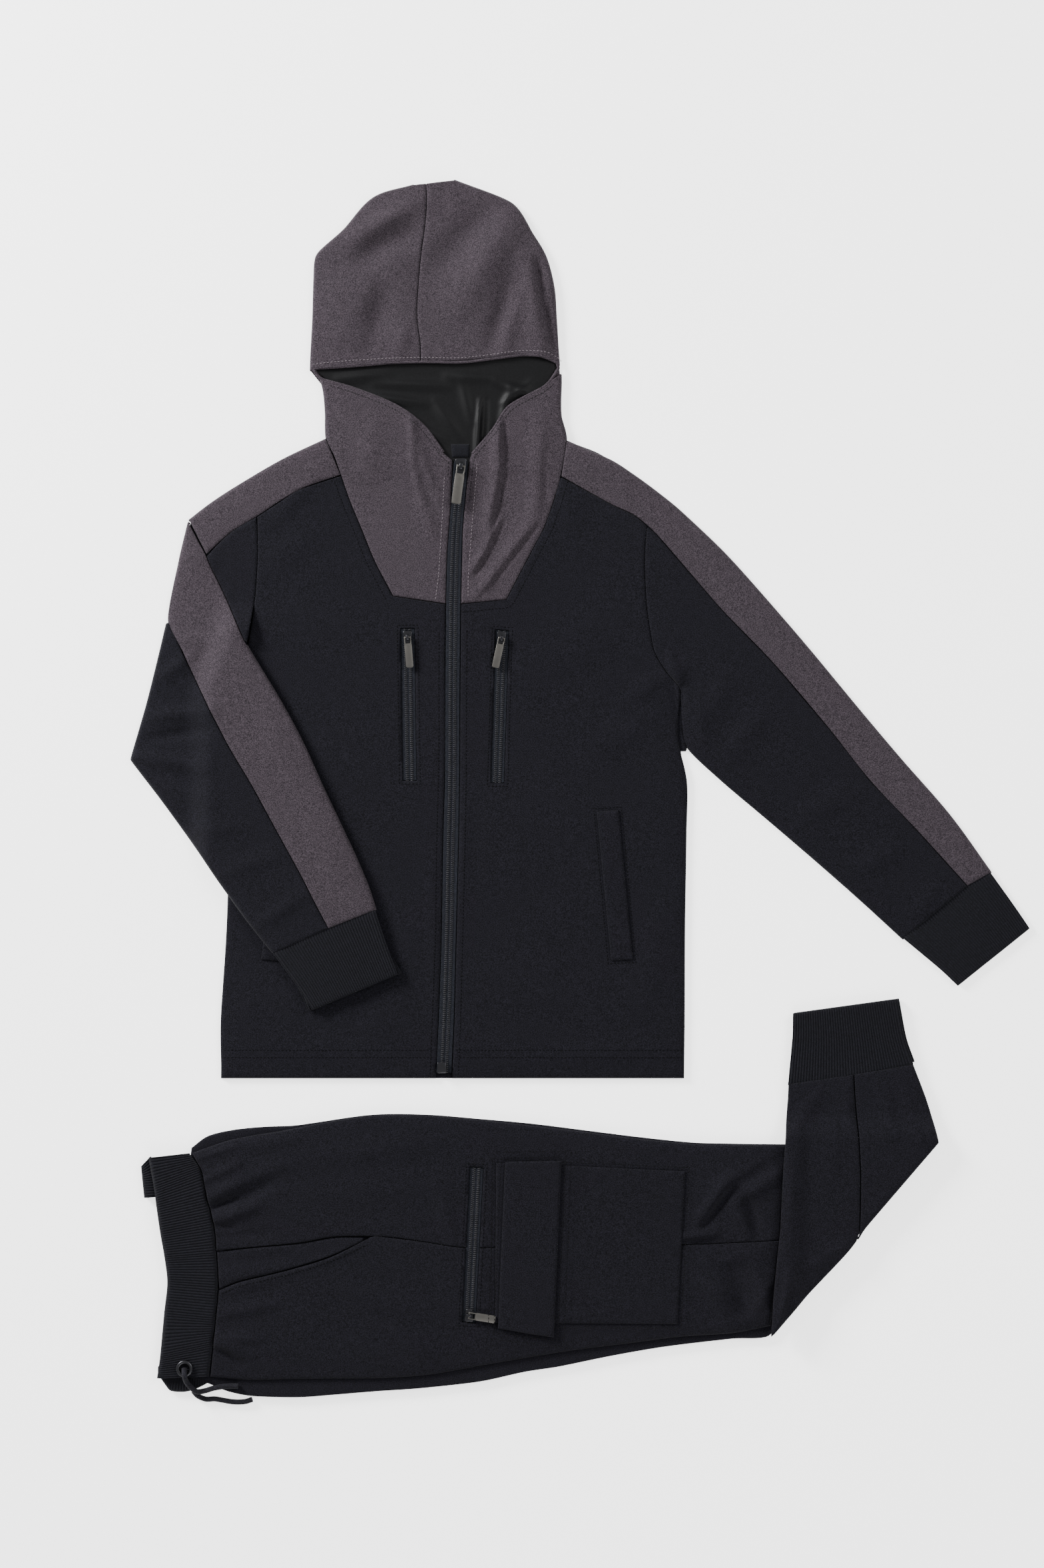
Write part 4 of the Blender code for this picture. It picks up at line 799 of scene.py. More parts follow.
# Zip windows, tapes and their chains
zips = {
    "chest_zip_right": {"garment": "jacket",
                        "corners": ((-39, 373.5), (-27, 373.5), (-25.2, 247.5), (-37.2, 247.5))},
    "chest_zip_left": {"garment": "jacket",
                       "corners": ((39.5, 372.5), (51, 371.5), (47, 245.5), (35.5, 245.5))},
    "thigh_zip": {"garment": "joggers",
                  "corners": ((250.5, 82), (262, 81), (255.5, -47.5), (244, -46.5))},
}
windowOf = {"front_right": "chest_zip_right", "front_left": "chest_zip_left", "leg_back": "thigh_zip",
            "leg_front": "thigh_zip"}
mainZipRows = (
    (-9.3, 6, 3.3, 6), (-7.3, 49, 5.3, 49), (-4.8, 119.5, 7.1, 119.5), (-3.8, 189, 8.8, 189),
    (-2.2, 250, 9.9, 250), (-1.8, 330, 10.2, 330), (-1.2, 393.5, 10.8, 393.5), (-0.3, 429.5, 11.7, 429.5),
    (1.2, 454, 12.3, 454), (3.2, 478, 14.3, 478), (4.2, 499, 16.3, 499), (5.5, 512, 16.8, 512),
)
greyPanels = ("hood_right", "hood_left", "crown_right", "crown_left", "hood_back", "stripe_left",
              "shoulder_right", "stripe_right")
# How far an end curves outwards, or with the place of its highest point
noBow = (0.0, 0.0)
endBows = {"sleeve_right_front": (3.6, 0.0), "crown_left": ((-7.5, 0.74), 0.0), "crown_right": (0.8, 0.0),
           "cuff_left": (5.2, 0.0), "cuff_right": (3.0, 0.0), "ankle_cuff": (1.5, 0.0)}
flatPanels = {"jacket_back", "hood_back", "sleeve_left_back", "sleeve_right_under"}
finePanels = {"hood_lining", "hood_left", "hood_right"}
panelStep = {"flat": 7.0, "fine": 2.2, "usual": 3.0}


lowEdge = 0.4  # how high a turned-down edge ends


def sleeveLow(x, y):
    return underTop(x, y) - wall + lowEdge


def floorLow(x, y):
    return lowEdge


lowSides = {"stripe_right": sleeveLow, "sleeve_right_back": sleeveLow}


def cutWindow(bm, corners):
    # open a four-cornered window, its corners in order
    centre = sum((Vector((x, y, 0)) for x, y in corners), Vector()) / 4
    reach = max(math.hypot(x - centre.x, y - centre.y) for x, y in corners) + 20
    planes = []
    for (ax, ay), (bx, by) in zip(corners, corners[1:] + corners[:1]):
        normal = Vector((by - ay, ax - bx, 0)).normalized()
        start = Vector((ax, ay, 0))
        planes.append((start, -normal if normal.dot(centre - start) > 0 else normal))
    for start, normal in planes:
        near = [f for f in bm.faces if (f.calc_center_median().xy - centre.xy).length < reach]
        around = near + list({e for f in near for e in f.edges}) + list({v for f in near for v in f.verts})
        bmesh.ops.bisect_plane(bm, geom=around, plane_co=start, plane_no=normal, dist=0.02)
    flat = Vector((1, 1, 0))
    inside = [f for f in bm.faces if all(n.dot(f.calc_center_median() * flat - s) < 0 for s, n in planes)]
    bmesh.ops.delete(bm, geom=inside, context="FACES")


def panelFinish(name):
    return "greyCloth" if name in greyPanels else "lining" if name == "hood_lining" else "blackCloth"


def buildPanel(name, garment, rows):
    kind = "flat" if name in flatPanels else "fine" if name in finePanels else "usual"
    step = panelStep[kind] * 1.0
    bm = sheetGrid(fineRows(rows, step), round(widestOf(rows) / step), tops.get(name, jacketTop),
                   bows=endBows.get(name, noBow))
    if name in windowOf:
        cutWindow(bm, zips[windowOf[name]]["corners"])
    if name in turnedLines:
        turnDown(bm, turnedLines[name], lowSides.get(name, floorLow))
    piece = addPiece(f"{name}_cloth", bm, panelFinish(name), garment, (name,), thickness=shell)
    declareCloth(piece, rows)


for panelName, panelRows in jacketPanels.items():
    buildPanel(panelName, "jacket", panelRows)
for panelName, panelRows in joggersPanels.items():
    buildPanel(panelName, "joggers", panelRows)
print("cloth panels:", len(allPanels))

# The layers below, each a sheet of its own: the sheet's height and how far its edge is drawn in
legHidden = (
    (-4, -88, 20, 97), (30, -97, 34, 107), (50, -105, 55, 112), (71, -109, 80, 114.5),
    (107.5, -110, 104.5, 115.5), (136.5, -108, 126.5, 118.5), (173, -105, 170.5, 124.5),
    (209.5, -102.5, 214.5, 124.5), (258.5, -97, 258.5, 121), (295.5, -89, 302.5, 117),
    (324.5, -84.5, 346.5, 111.5), (368.5, -75.5, 390.5, 106), (412.5, -68, 434.5, 101.5),
    (467.5, -61.5, 470, 100.5), (498, -59, 512, 100), (539, -13, 540, 100), (579, 32.5, 575, 100),
    (633, 97, 632, 100),
)
shinHidden = (
    (499, -56.5, 501.5, -53.5), (501.5, -25, 526.5, -25), (504.5, 3, 553, 3), (507, 31.5, 576, 31.5),
    (509, 73.5, 612, 73.5), (511.5, 102, 636.5, 102), (512.5, 115.5, 633.5, 115.5),
    (514.5, 137.5, 627, 137.5), (514.5, 150.3, 617.5, 166.4),
)
layerStacks = {
    "hidden_layers": {"rows": legHidden, "base": ground, "step": 6.0,
                      "sheets": ((1.45, 1.2), (3.4, 0.3), (5.4, 0.9))},
    "folded_layers": {"rows": shinHidden, "base": shinBase, "step": 4.0,
                      "sheets": ((1.45, 0.9), (3.0, 0.3), (4.5, 1.1))},
}


def joinSheets(sheets):
    # several open sheets as one piece
    joined = bmesh.new()
    for sheet in sheets:
        holder = bpy.data.meshes.new("sheet")
        sheet.to_mesh(holder)
        sheet.free()
        joined.from_mesh(holder)
        bpy.data.meshes.remove(holder)
    return joined


def underFold(base, rise):
    return lambda x, y: base(x, y) + rise + max(0.0, foldRise(x, y, "leg under"))


for stackName, spec in layerStacks.items():
    layerSheets = []
    for number, (rise, inset) in enumerate(spec["sheets"]):
        topOf = (underFold if number == 0 else heightAbove)(spec["base"], rise)
        columns = round(widestOf(spec["rows"]) / spec["step"])
        layerSheets.append(sheetGrid(fineRows(spec["rows"], spec["step"]), columns, topOf, inset=inset,
                                     roll=number > 0))
    stackPiece = addPiece(f"{stackName}_cloth", joinSheets(layerSheets), "blackCloth", "joggers",
                          (stackName,), thickness=shell)
    declareCloth(stackPiece, spec["rows"], layers=len(spec["sheets"]))
print("hidden layers:", len(layerStacks))

# A facing inside each armhole closes the seam from below and runs on under the arm: middles and half widths
facings = {
    "armhole_facing_left": (
        (166, 463, 3), (165, 456, 5), (163.4, 442, 5), (163, 424.5, 5), (163.8, 405, 5), (165, 389, 5),
        (170.5, 356, 5), (180.5, 338, 5), (191, 322.5, 5), (193, 301, 5), (194.5, 288, 5), (194.5, 278, 5),
        (194.5, 271.5, 3)),
    "armhole_facing_right": (
        (-157.8, 470, 4), (-157.2, 450, 5), (-157, 435, 5), (-158.5, 407, 5), (-164, 382.5, 7),
        (-174, 367, 13), (-181, 356, 15), (-184, 340, 14), (-188, 322, 12), (-190, 300, 10)),
}
facing = {"drop": 2.3, "wall": 0.8, "step": 6.0, "columns": 12}  # the drop is from the outer cloth's top
for facingName, middles in facings.items():
    facingRows = tuple((x - half, y, x + half, y) for x, y, half in middles)
    facingSheet = sheetGrid(fineRows(facingRows, facing["step"]), facing["columns"],
                            heightAbove(jacketTop, -facing["drop"]))
    facingPiece = addPiece(facingName, facingSheet, "blackCloth", "jacket", thickness=facing["wall"])
    declareCloth(facingPiece, facingRows)
print("armhole facings:", len(facings))

# Ribbed knit: the ribs run from the seam to the free edge, and the knit closes a little over the edge
rib = {"rise": 0.85, "pitch": 2.2, "roundness": 0.8, "perRib": 8, "wall": 1.2}
cuffEdge = {"endDrop": 0.7, "sideDrop": 0.9, "reach": 2.6, "atSeam": 0.35, "deepAfter": 3.0}
bandEdge = {"drop": 1.1, "reach": 4.0, "atSeam": 0.3}


def ribWave(angle):
    return rib["rise"] * (abs(math.cos(angle)) ** rib["roundness"] - 0.5)


def fallNear(away, width):
    return (1 - min(away / width, 1.0)) ** 2


def ribbedSheet(rows, ribs, top, step=3.0, inset=0.3, pull=0.0, bows=noBow):
    fine = rollRows(fineRows(rows, step), inset)
    along = alongRows(fine, meanSpan)
    ends = endMiddles(fine)
    bm = bmesh.new()
    for vertex, index, u, (ax, ay, bx, by) in gridOver(bm, fine, ribs * rib["perRib"]):
        fromEnds = (along[index], along[-1] - along[index])
        x, y = bowed(ax + (bx - ax) * u, ay + (by - ay) * u, u, ends, fromEnds, bows)
        away = min(fromEnds)
        side = min(u, 1 - u) * math.hypot(bx - ax, by - ay)
        edgeRoll = (cuffEdge["endDrop"] * fallNear(away, cuffEdge["reach"])
                    + cuffEdge["sideDrop"] * fallNear(side, cuffEdge["reach"]))
        wave = ribWave(math.pi * ribs * u) * min(1.0, cuffEdge["atSeam"] + away / cuffEdge["deepAfter"])
        vertex.co = (x, y, aboveFloor(top(x, y) + wave - edgeRoll + pull * math.sin(x * 0.11 + y * 0.07)))
    return faceUp(bm)


def bandSheet(rows, perRib, top, columns=14):
    # the ribs run across the rows
    spans = [max(1, round(meanSpan(p, q) / rib["pitch"])) * perRib for p, q in zip(rows, rows[1:])]
    bm = bmesh.new()
    for vertex, index, u, (ax, ay, bx, by) in gridOver(bm, rowsBetween(rows, spans), columns):
        x, y = ax + (bx - ax) * u, ay + (by - ay) * u
        away = min(u, 1 - u) * math.hypot(bx - ax, by - ay)
        wave = ribWave(math.pi * index / perRib) * min(1.0, bandEdge["atSeam"] + away / bandEdge["reach"])
        edgeRoll = bandEdge["drop"] * fallNear(away, bandEdge["reach"])
        vertex.co = (x, y, aboveFloor(top(x, y) + wave - edgeRoll))
    return faceUp(bm)


def reachedBack(rows, amount):
    # the first row moved back, under the cloth that the knit is sewn to
    span = math.dist(rowMiddle(rows[0]), rowMiddle(rows[1]))
    return (blendRows(rows[0], rows[1], -amount / span), *rows[1:])


def widened(rows, before, after):
    # the layer beneath shows a little past the upper one
    out = []
    for ax, ay, bx, by in rows:
        span = math.hypot(bx - ax, by - ay)
        ux, uy = (bx - ax) / span, (by - ay) / span
        out.append((ax - ux * before, ay - uy * before, bx + ux * after, by + uy * after))
    return tuple(out)


leftCuff = ((377.5, 116.6, 450, 170.6), (407, 92, 469, 144), (422.5, 77.5, 482, 125))
rightCuff = ((-143.3, 104.6, -59.2, 140.1), (-124.5, 79, -49.5, 111), (-111, 58, -40.5, 87.5))
ankleCuff = ((513.5, 150.6, 616.8, 167.2), (517, 188.5, 609.5, 188.5), (517.5, 208.5, 603.5, 220.5))
ribCounts = {"jacket": 39, "joggers": 44}
cuffHeight, cuffUnderHeight = 4.0, 1.7
cuffHold = 1.4  # how far a cuff reaches under its sleeve
cuffPull = 0.15
cuffs = {
    "cuff_left": {"rows": leftCuff, "garment": "jacket", "top": heightAbove(ground, cuffHeight)},
    "cuff_left_under": {"rows": widened(leftCuff, -2.5, -1.0), "garment": "jacket",
                        "top": heightAbove(ground, cuffUnderHeight)},
    "cuff_right": {"rows": rightCuff, "garment": "jacket", "top": heightAbove(cover, cuffHeight)},
    "cuff_right_under": {"rows": (*rightCuff[:-1], (-115, 57, -37.5, 88.5)), "garment": "jacket",
                         "top": heightAbove(cover, cuffUnderHeight)},
    "ankle_cuff": {"rows": ankleCuff, "garment": "joggers",
                   "top": heightAbove(shinBase, shinCore + shinGap + 2.1)},
}
opened = {"cuff": 1.25, "ankle": 1.2, "waist": 1.15}  # how far each rib stretches, times its width as laid
for cuffName, spec in cuffs.items():
    cuffSheet = ribbedSheet(reachedBack(spec["rows"], cuffHold), ribCounts[spec["garment"]], spec["top"],
                            pull=cuffPull, bows=endBows.get(cuffName, noBow))
    cuffPiece = addPiece(f"{cuffName}_rib", cuffSheet, "blackRib", spec["garment"], (cuffName,),
                         thickness=rib["wall"])
    declareCloth(cuffPiece, spec["rows"], opened=opened["cuff"])
beneath = {"rows": widened(ankleCuff, -1.5, 2.0), "sheets": ((1.6, 1.2), (3.1, 0.4), (4.6, 0.9)), "step": 6.0,
           "wall": 1.1}
ankleSheets = [ribbedSheet(beneath["rows"], ribCounts["joggers"], heightAbove(shinBase, rise),
                           step=beneath["step"], inset=inset) for rise, inset in beneath["sheets"]]
anklePiece = addPiece("ankle_cuff_under_rib", joinSheets(ankleSheets), "blackRib", "joggers",
                      ("ankle_cuff_under",), thickness=beneath["wall"])
declareCloth(anklePiece, beneath["rows"], layers=len(ankleSheets), opened=opened["ankle"])

waistRows = (
    (-8, -93, 34.9, -91.5), (-5.5, -76, 37.8, -67), (-2, -38.5, 40.3, -42.5), (0.5, -14, 42.2, -17),
    (-2, 8, 40.7, 11.5), (-5, 25, 38.6, 33), (-8, 45, 33, 55), (-10.5, 64, 28.3, 78.3),
    (-15, 89, 19, 92.5),
)
waistSheet = bandSheet(waistRows, rib["perRib"], heightAbove(ground, legCore + seamGap + 2.4))
waistPiece = addPiece("waistband_rib", waistSheet, "blackRib", "joggers", ("waistband",), thickness=shell)
declareCloth(waistPiece, waistRows, opened=opened["waist"])
# The band's far layers show past its end and below the eyelet
farHeights = (2.4, 5.0)
farPerRib = 8
farBands = {
    "waistband_far_rib": {"rows": ((-21.5, 81, -13.5, 89.5), (-20.5, 70, -9.5, 71.5),
                                   (-19, 55.5, -7.5, 56.5)),
                          "columns": 6, "replaced": ("waistband_far",)},
    "waistband_low_rib": {"rows": ((-7.5, -84, -7, -91.5), (4, -86, 2, -103.5), (12, -87, 11, -105),
                                   (20, -88, 20, -103.8), (29, -88, 30, -99.5), (36, -88, 39, -94)),
                          "columns": 8, "replaced": ()},
}
for bandName, spec in farBands.items():
    bandSheets = [bandSheet(spec["rows"], farPerRib, heightAbove(ground, rise), spec["columns"])
                  for rise in farHeights]
    bandPiece = addPiece(bandName, joinSheets(bandSheets), "blackRib", "joggers", spec["replaced"],
                         thickness=shell)
    declareCloth(bandPiece, spec["rows"], layers=len(bandSheets), opened=opened["waist"])
print("ribbed pieces:", len(cuffs) + 2 + len(farBands))

# Zip tapes lie a little lower than the cloth, each with two columns of coil
tape = {"trim": 0.2, "step": 3.2, "columns": 8, "inset": 0.1, "wall": 0.7}
coil = {"pitch": 1.6, "offset": 1.95, "reach": 1.65, "thick": 0.62, "rise": 0.5, "lean": 14.0, "lift": 0.12,
        "segments": (8, 5)}
beadLot = 40
tapeTops = {"main_zip": heightAbove(jacketTop, -0.35), "chest_zip_right": heightAbove(jacketTop, -0.75),
            "chest_zip_left": heightAbove(jacketTop, -0.75), "thigh_zip": heightAbove(joggersTop, -0.95)}


def windowRows(corners):
    a, b, c, d = [Vector(corner) for corner in corners]
    share = tape["trim"] / (a - d).length
    rows = []
    for k in range(7):
        t = share + (1 - 2 * share) * k / 6
        left, right = a.lerp(d, t), b.lerp(c, t)
        rows.append((left.x, left.y, right.x, right.y))
    return tuple(rows)


def addBeads(bm, places, segments):
    # small rounded pieces, each with its own place, direction and half sizes, made in short lots
    for first in range(0, len(places), beadLot):
        lot = bmesh.new()
        for place, along, sizes in places[first:first + beadLot]:
            turn = along.to_track_quat("X", "Z").to_matrix().to_4x4()
            matrix = Matrix.Translation(place) @ turn @ Matrix.Diagonal((*sizes, 1))
            bmesh.ops.create_uvsphere(lot, u_segments=segments[0], v_segments=segments[1], radius=1,
                                      matrix=matrix)
        holder = bpy.data.meshes.new("lot")
        lot.to_mesh(holder)
        lot.free()
        bm.from_mesh(holder)
        bpy.data.meshes.remove(holder)


def walk(points, pitch):
    # places at an even pitch along a line, with their directions
    carried = pitch / 2
    for (ax, ay), (bx, by) in zip(points, points[1:]):
        length = math.hypot(bx - ax, by - ay)
        while carried < length:
            t = carried / length
            yield ax + (bx - ax) * t, ay + (by - ay) * t, (bx - ax) / length, (by - ay) / length
            carried += pitch
        carried -= length


def coilPlaces(middle, top):
    places = []
    for x, y, dx, dy in walk(middle, coil["pitch"]):
        for sideways in (-1, 1):
            cx, cy = x - dy * sideways * coil["offset"], y + dx * sideways * coil["offset"]
            turn = Matrix.Rotation(math.radians(90 + coil["lean"] * sideways), 3, "Z")
            places.append((Vector((cx, cy, top(cx, cy) + coil["lift"])), turn @ Vector((dx, dy, 0)),
                           (coil["reach"], coil["thick"], coil["rise"])))
    return places


zips["main_zip"] = {"garment": "jacket", "rows": mainZipRows}
for zipName, spec in zips.items():
    rows = spec.get("rows") or windowRows(spec["corners"])
    tapeSheet = sheetGrid(fineRows(rows, tape["step"]), tape["columns"], tapeTops[zipName],
                          inset=tape["inset"], roll=False)
    declareCloth(addPiece(f"{zipName}_tape", tapeSheet, "zipTape", spec["garment"], (zipName,),
                          thickness=tape["wall"]), rows)
    chain = bmesh.new()
    middle = evenLine([rowMiddle(row) for row in rows], 8)
    addBeads(chain, coilPlaces(middle, tapeTops[zipName]), coil["segments"])
    addPiece(f"{zipName}_coil", chain, "zipTeeth", spec["garment"])
print("zips:", len(zips))

# Pieces sewn on top
onJacket = heightAbove(jacketTop, patchGap + patchWall)
onJoggers = heightAbove(joggersTop, patchGap + patchWall)
onPocket = heightAbove(joggersTop, 2 * patchGap + 2 * patchWall + 0.7)
patches = {
    "welt_left": {"rows": ((123, 222, 141.5, 223.5), (129, 160, 147.5, 161), (135, 98.5, 153.5, 99.5)),
                  "garment": "jacket", "top": onJacket},
    "welt_right": {"rows": ((-138.5, 223, -119.5, 221.5), (-146, 160, -127, 160), (-154.5, 99.5, -136, 98)),
                   "garment": "jacket", "top": onJacket},
    "cargo_pocket": {"rows": ((272, 85.5, 271, -47), (327, 83.5, 325.5, -47.5), (375, 81, 374, -47.8),
                              (428.5, 78.5, 422, -48)),
                     "garment": "joggers", "top": onJoggers},
    "cargo_flap": {"rows": ((273.5, -51, 279.5, 86.5), (285, -53, 287, 86.8), (296, -55, 300, 87),
                            (309, -57, 313, 87.2), (320, -58.5, 326.5, 87.5)),
                   "garment": "joggers", "top": onPocket},
    "neck_label": {"rows": ((3.5, 514.5, 18, 514.5), (2.5, 526, 18.5, 526)), "garment": "jacket",
                   "top": heightAbove(liningTop, 0.9), "finish": "blackRib", "wall": 0.6},
}
patch = {"step": 3.0, "wall": 1.2}
for patchName, spec in patches.items():
    columns = round(widestOf(spec["rows"]) / patch["step"])
    patchSheet = sheetGrid(fineRows(spec["rows"], patch["step"]), columns, spec["top"])
    declareCloth(addPiece(f"{patchName}_cloth", patchSheet, spec.get("finish", "blackCloth"), spec["garment"],
                          (patchName,), thickness=spec.get("wall", patch["wall"])), spec["rows"])
print("sewn-on pieces:", len(patches))


def offsetLine(points, away):
    # the line moved to its left by away
    out = []
    for i, (x, y) in enumerate(points):
        (ax, ay), (bx, by) = points[max(i - 1, 0)], points[min(i + 1, len(points) - 1)]
        length = math.hypot(bx - ax, by - ay) or 1.0
        out.append((x - (by - ay) / length * away, y + (bx - ax) / length * away))
    return out


def boxAround(corners, away):
    centre = (sum(x for x, _ in corners) / 4, sum(y for _, y in corners) / 4)
    out = []
    for x, y in corners:
        out.append((x + math.copysign(away, x - centre[0]), y + math.copysign(away, y - centre[1])))
    return [*out, out[0]]


def rowCorners(rows):
    return (rows[0][:2], rows[0][2:], rows[-1][2:], rows[-1][:2])


def roundCurve(name, points, radius, resolution, finish):
    # a round bar along points in metres
    curve = bpy.data.curves.new(name, "CURVE")
    curve.dimensions = "3D"
    curve.bevel_depth = radius * mm
    curve.bevel_resolution = resolution
    curve.use_fill_caps = True
    spline = curve.splines.new("POLY")
    spline.points.add(len(points) - 1)
    for point, place in zip(spline.points, points):
        point.co = (*place, 1)
    curve.materials.append(finishes[finish][0])
    return onStage(name, curve)


# The mouth of the hood, from its right corner along the crown and down to the zip, and its other side
mouthRim = evenLine([(-111.8, 588.1), (-70.9, 591.6), (-24.1, 593.5), (11, 593.2), (39.1, 596.4),
                     (62.5, 599.2), (81.2, 597.8), (90, 593.6), (91.7, 588.5), (84.5, 577.5), (77.5, 571.5),
                     (50.5, 556.5), (38, 538), (20.5, 517.5)], 6)
mouthSide = evenLine([(-111.8, 588.1), (-103.6, 579.4), (-77, 571.5), (-43.5, 558), (-20, 541),
                      (-3.5, 519)], 6)
rim = {"radius": 1.25, "drop": 1.15}
for rimName, line in (("mouth_rim", mouthRim), ("mouth_side", mouthSide)):
    rimPoints = [placed(x, y, jacketTop(x, y) - rim["drop"], "jacket") for x, y in line]
    rimPiece = roundCurve(rimName, rimPoints, rim["radius"], 3, "greyCloth")
    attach(rimPiece, "garments")

stitch = {"pitch": 3.0, "half": 1.1, "thick": 0.3, "rise": 0.24, "lift": 0.1, "segments": (6, 4)}


def stitchedEdge(name, which, first, last, away):
    return offsetLine(sideLine(name, which, first, last), away)


# Sewing lines of each garment and thread: the surface and the line
pocket, flap = rowCorners(patches["cargo_pocket"]["rows"]), rowCorners(patches["cargo_flap"]["rows"])
hemLines = [(jacketTop, [(first, y), (last, y)])
            for first, last in ((6, 194), (-186, -12)) for y in (24.7, 18.7)]
sewing = {
    ("jacket", "greyThread"): [
        (jacketTop, [(-2.5, 498.6), (-4.7, 456.5), (-7.4, 416.4), (-10, 396.5)]),
        (jacketTop, [(24.6, 509.9), (20.2, 456.5), (17.2, 416.1), (17, 398)]),
        (jacketTop, offsetLine(mouthRim[:46], 3.6)),
    ],
    ("jacket", "darkThread"): [
        (jacketTop, stitchedEdge("hood_right", "b", 4, 10, 3.6)),
        (jacketTop, stitchedEdge("hood_left", "a", 4, 10, -3.6)),
    ],
    ("jacket", "blackThread"): [
        (jacketTop, stitchedEdge("front_left", "a", 9, 17, -6.6)),
        (jacketTop, stitchedEdge("front_right", "b", 10, 16, 6.6)),
        *hemLines,
        (jacketTop, stitchedEdge("front_left", "a", 0, 8, -5.2)),
        (jacketTop, stitchedEdge("front_right", "b", 0, 8, 5.2)),
        (jacketTop, boxAround(rowCorners(patches["welt_left"]["rows"]), 2.2)),
        (jacketTop, boxAround(zips["chest_zip_right"]["corners"], 2.6)),
        (jacketTop, boxAround(zips["chest_zip_left"]["corners"], 2.6)),
    ],
    ("joggers", "blackThread"): [
        (joggersTop, boxAround(zips["thigh_zip"]["corners"], 2.6)),
        (onJoggers, boxAround(pocket, -3.0)),
        (onPocket, boxAround(flap, -3.0)),
        (onPocket, boxAround(flap, -8.0)),
        (joggersTop, stitchedEdge("hip_pocket", "a", 0, 4, -3.8)),
    ],
}
for (garment, thread), sewnLines in sewing.items():
    sewn = bmesh.new()
    for surface, points in sewnLines:
        places = []
        for x, y, dx, dy in walk(points, stitch["pitch"]):
            slope = surface(x + dx, y + dy) - surface(x - dx, y - dy)
            places.append((Vector((x, y, surface(x, y) + stitch["lift"])), Vector((dx, dy, slope / 2)),
                           (stitch["half"], stitch["thick"], stitch["rise"])))
        addBeads(sewn, places, stitch["segments"])
    addPiece(f"{garment}_{thread}", sewn, thread, garment)
print("sewing lines:", sum(len(sewnLines) for sewnLines in sewing.values()))

# Sliders and their pull tabs: zip heading and tab heading in degrees, then the tab's length and width
chestFloor = heightAbove(jacketTop, -0.1)
sliders = {
    "main": {"garment": "jacket", "at": (11.3, 507.0), "zip": -88, "tab": -97.7, "scale": 1.0,
             "tabSize": (31.5, 7.8), "floor": heightAbove(jacketTop, 0.3)},
    "chest_right": {"garment": "jacket", "at": (-33.0, 365.8), "zip": -89, "tab": -85.4, "scale": 0.8,
                    "tabSize": (25.0, 6.2), "floor": chestFloor},
    "chest_left": {"garment": "jacket", "at": (44.8, 365.2), "zip": -92, "tab": -102.0, "scale": 0.8,
                   "tabSize": (25.0, 6.2), "floor": chestFloor},
    "thigh": {"garment": "joggers", "at": (249.9, -40.3), "zip": 90, "tab": -9.0, "scale": 0.8,
              "tabSize": (22.0, 6.4), "floor": heightAbove(joggersTop, -0.4)},
}
sliderBody = {"wide": 10.0, "long": 13.5, "thick": 2.0, "corner": 2.2, "bevel": 0.55, "nose": 0.62,
              "pivotRise": 2.2}
bridge = {"halfWidth": 1.3, "reach": 3.2, "hole": 1.6, "shoulder": 1.0, "arch": 1.6, "bevel": 0.3}
tab = {"wall": 1.2, "bar": 0.8, "opening": 6.2, "half": 2.6, "rail": 1.0, "flare": 2.5, "corner": 1.2,
       "cornerMiddle": 0.35, "bevel": 0.28}
sharpAngle = math.radians(35)


def softened(bm, width, segments=2):
    sharp = [e for e in bm.edges if len(e.link_faces) == 2 and e.calc_face_angle(0) > sharpAngle]
    bmesh.ops.bevel(bm, geom=sharp, offset=width, offset_type="OFFSET", segments=segments, affect="EDGES",
                    profile=0.5, material=-1, clamp_overlap=True)


def ringPlate(outline, opening, thickness, soften):
    # a flat plate with one hole, from a few points
    bm = bmesh.new()
    loops = []
    for ring in (outline, opening):
        corners = [bm.verts.new((x, y, -thickness / 2)) for x, y in ring]
        loops += [bm.edges.new((a, b)) for a, b in zip(corners, corners[1:] + corners[:1])]
    bmesh.ops.triangle_fill(bm, use_beauty=True, edges=loops)
    made = bmesh.ops.extrude_face_region(bm, geom=bm.faces[:])
    fresh = [g for g in made["geom"] if isinstance(g, bmesh.types.BMVert)]
    bmesh.ops.translate(bm, verts=fresh, vec=(0, 0, thickness))
    bmesh.ops.recalc_face_normals(bm, faces=bm.faces)
    softened(bm, soften)
    return bm


def arcPoints(steps, degrees):
    return [(math.cos(a), math.sin(a)) for a in (math.radians(degrees * k) for k in range(steps))]


def sliderShell(spec, at, thick):
    x, y, floor = at
    scale = spec["scale"]
    body = bmesh.new()
    bmesh.ops.create_cube(body, size=1)
    for vertex in body.verts:
        narrow = sliderBody["nose"] if vertex.co.x > 0 else 1.0
        vertex.co = (vertex.co.x * sliderBody["long"] * scale,
                     vertex.co.y * sliderBody["wide"] * scale * narrow, vertex.co.z * thick)
    upright = [e for e in body.edges if abs(e.verts[0].co.z - e.verts[1].co.z) > thick / 2]
    bmesh.ops.bevel(body, geom=upright, offset=sliderBody["corner"] * scale, segments=5, affect="EDGES",
                    profile=0.5, material=-1)
    softened(body, sliderBody["bevel"] * scale, 3)
    bmesh.ops.transform(body, verts=body.verts, matrix=Matrix.Translation((x, y, floor + thick / 2))
                        @ Matrix.Rotation(math.radians(spec["zip"]), 4, "Z"))
    return body


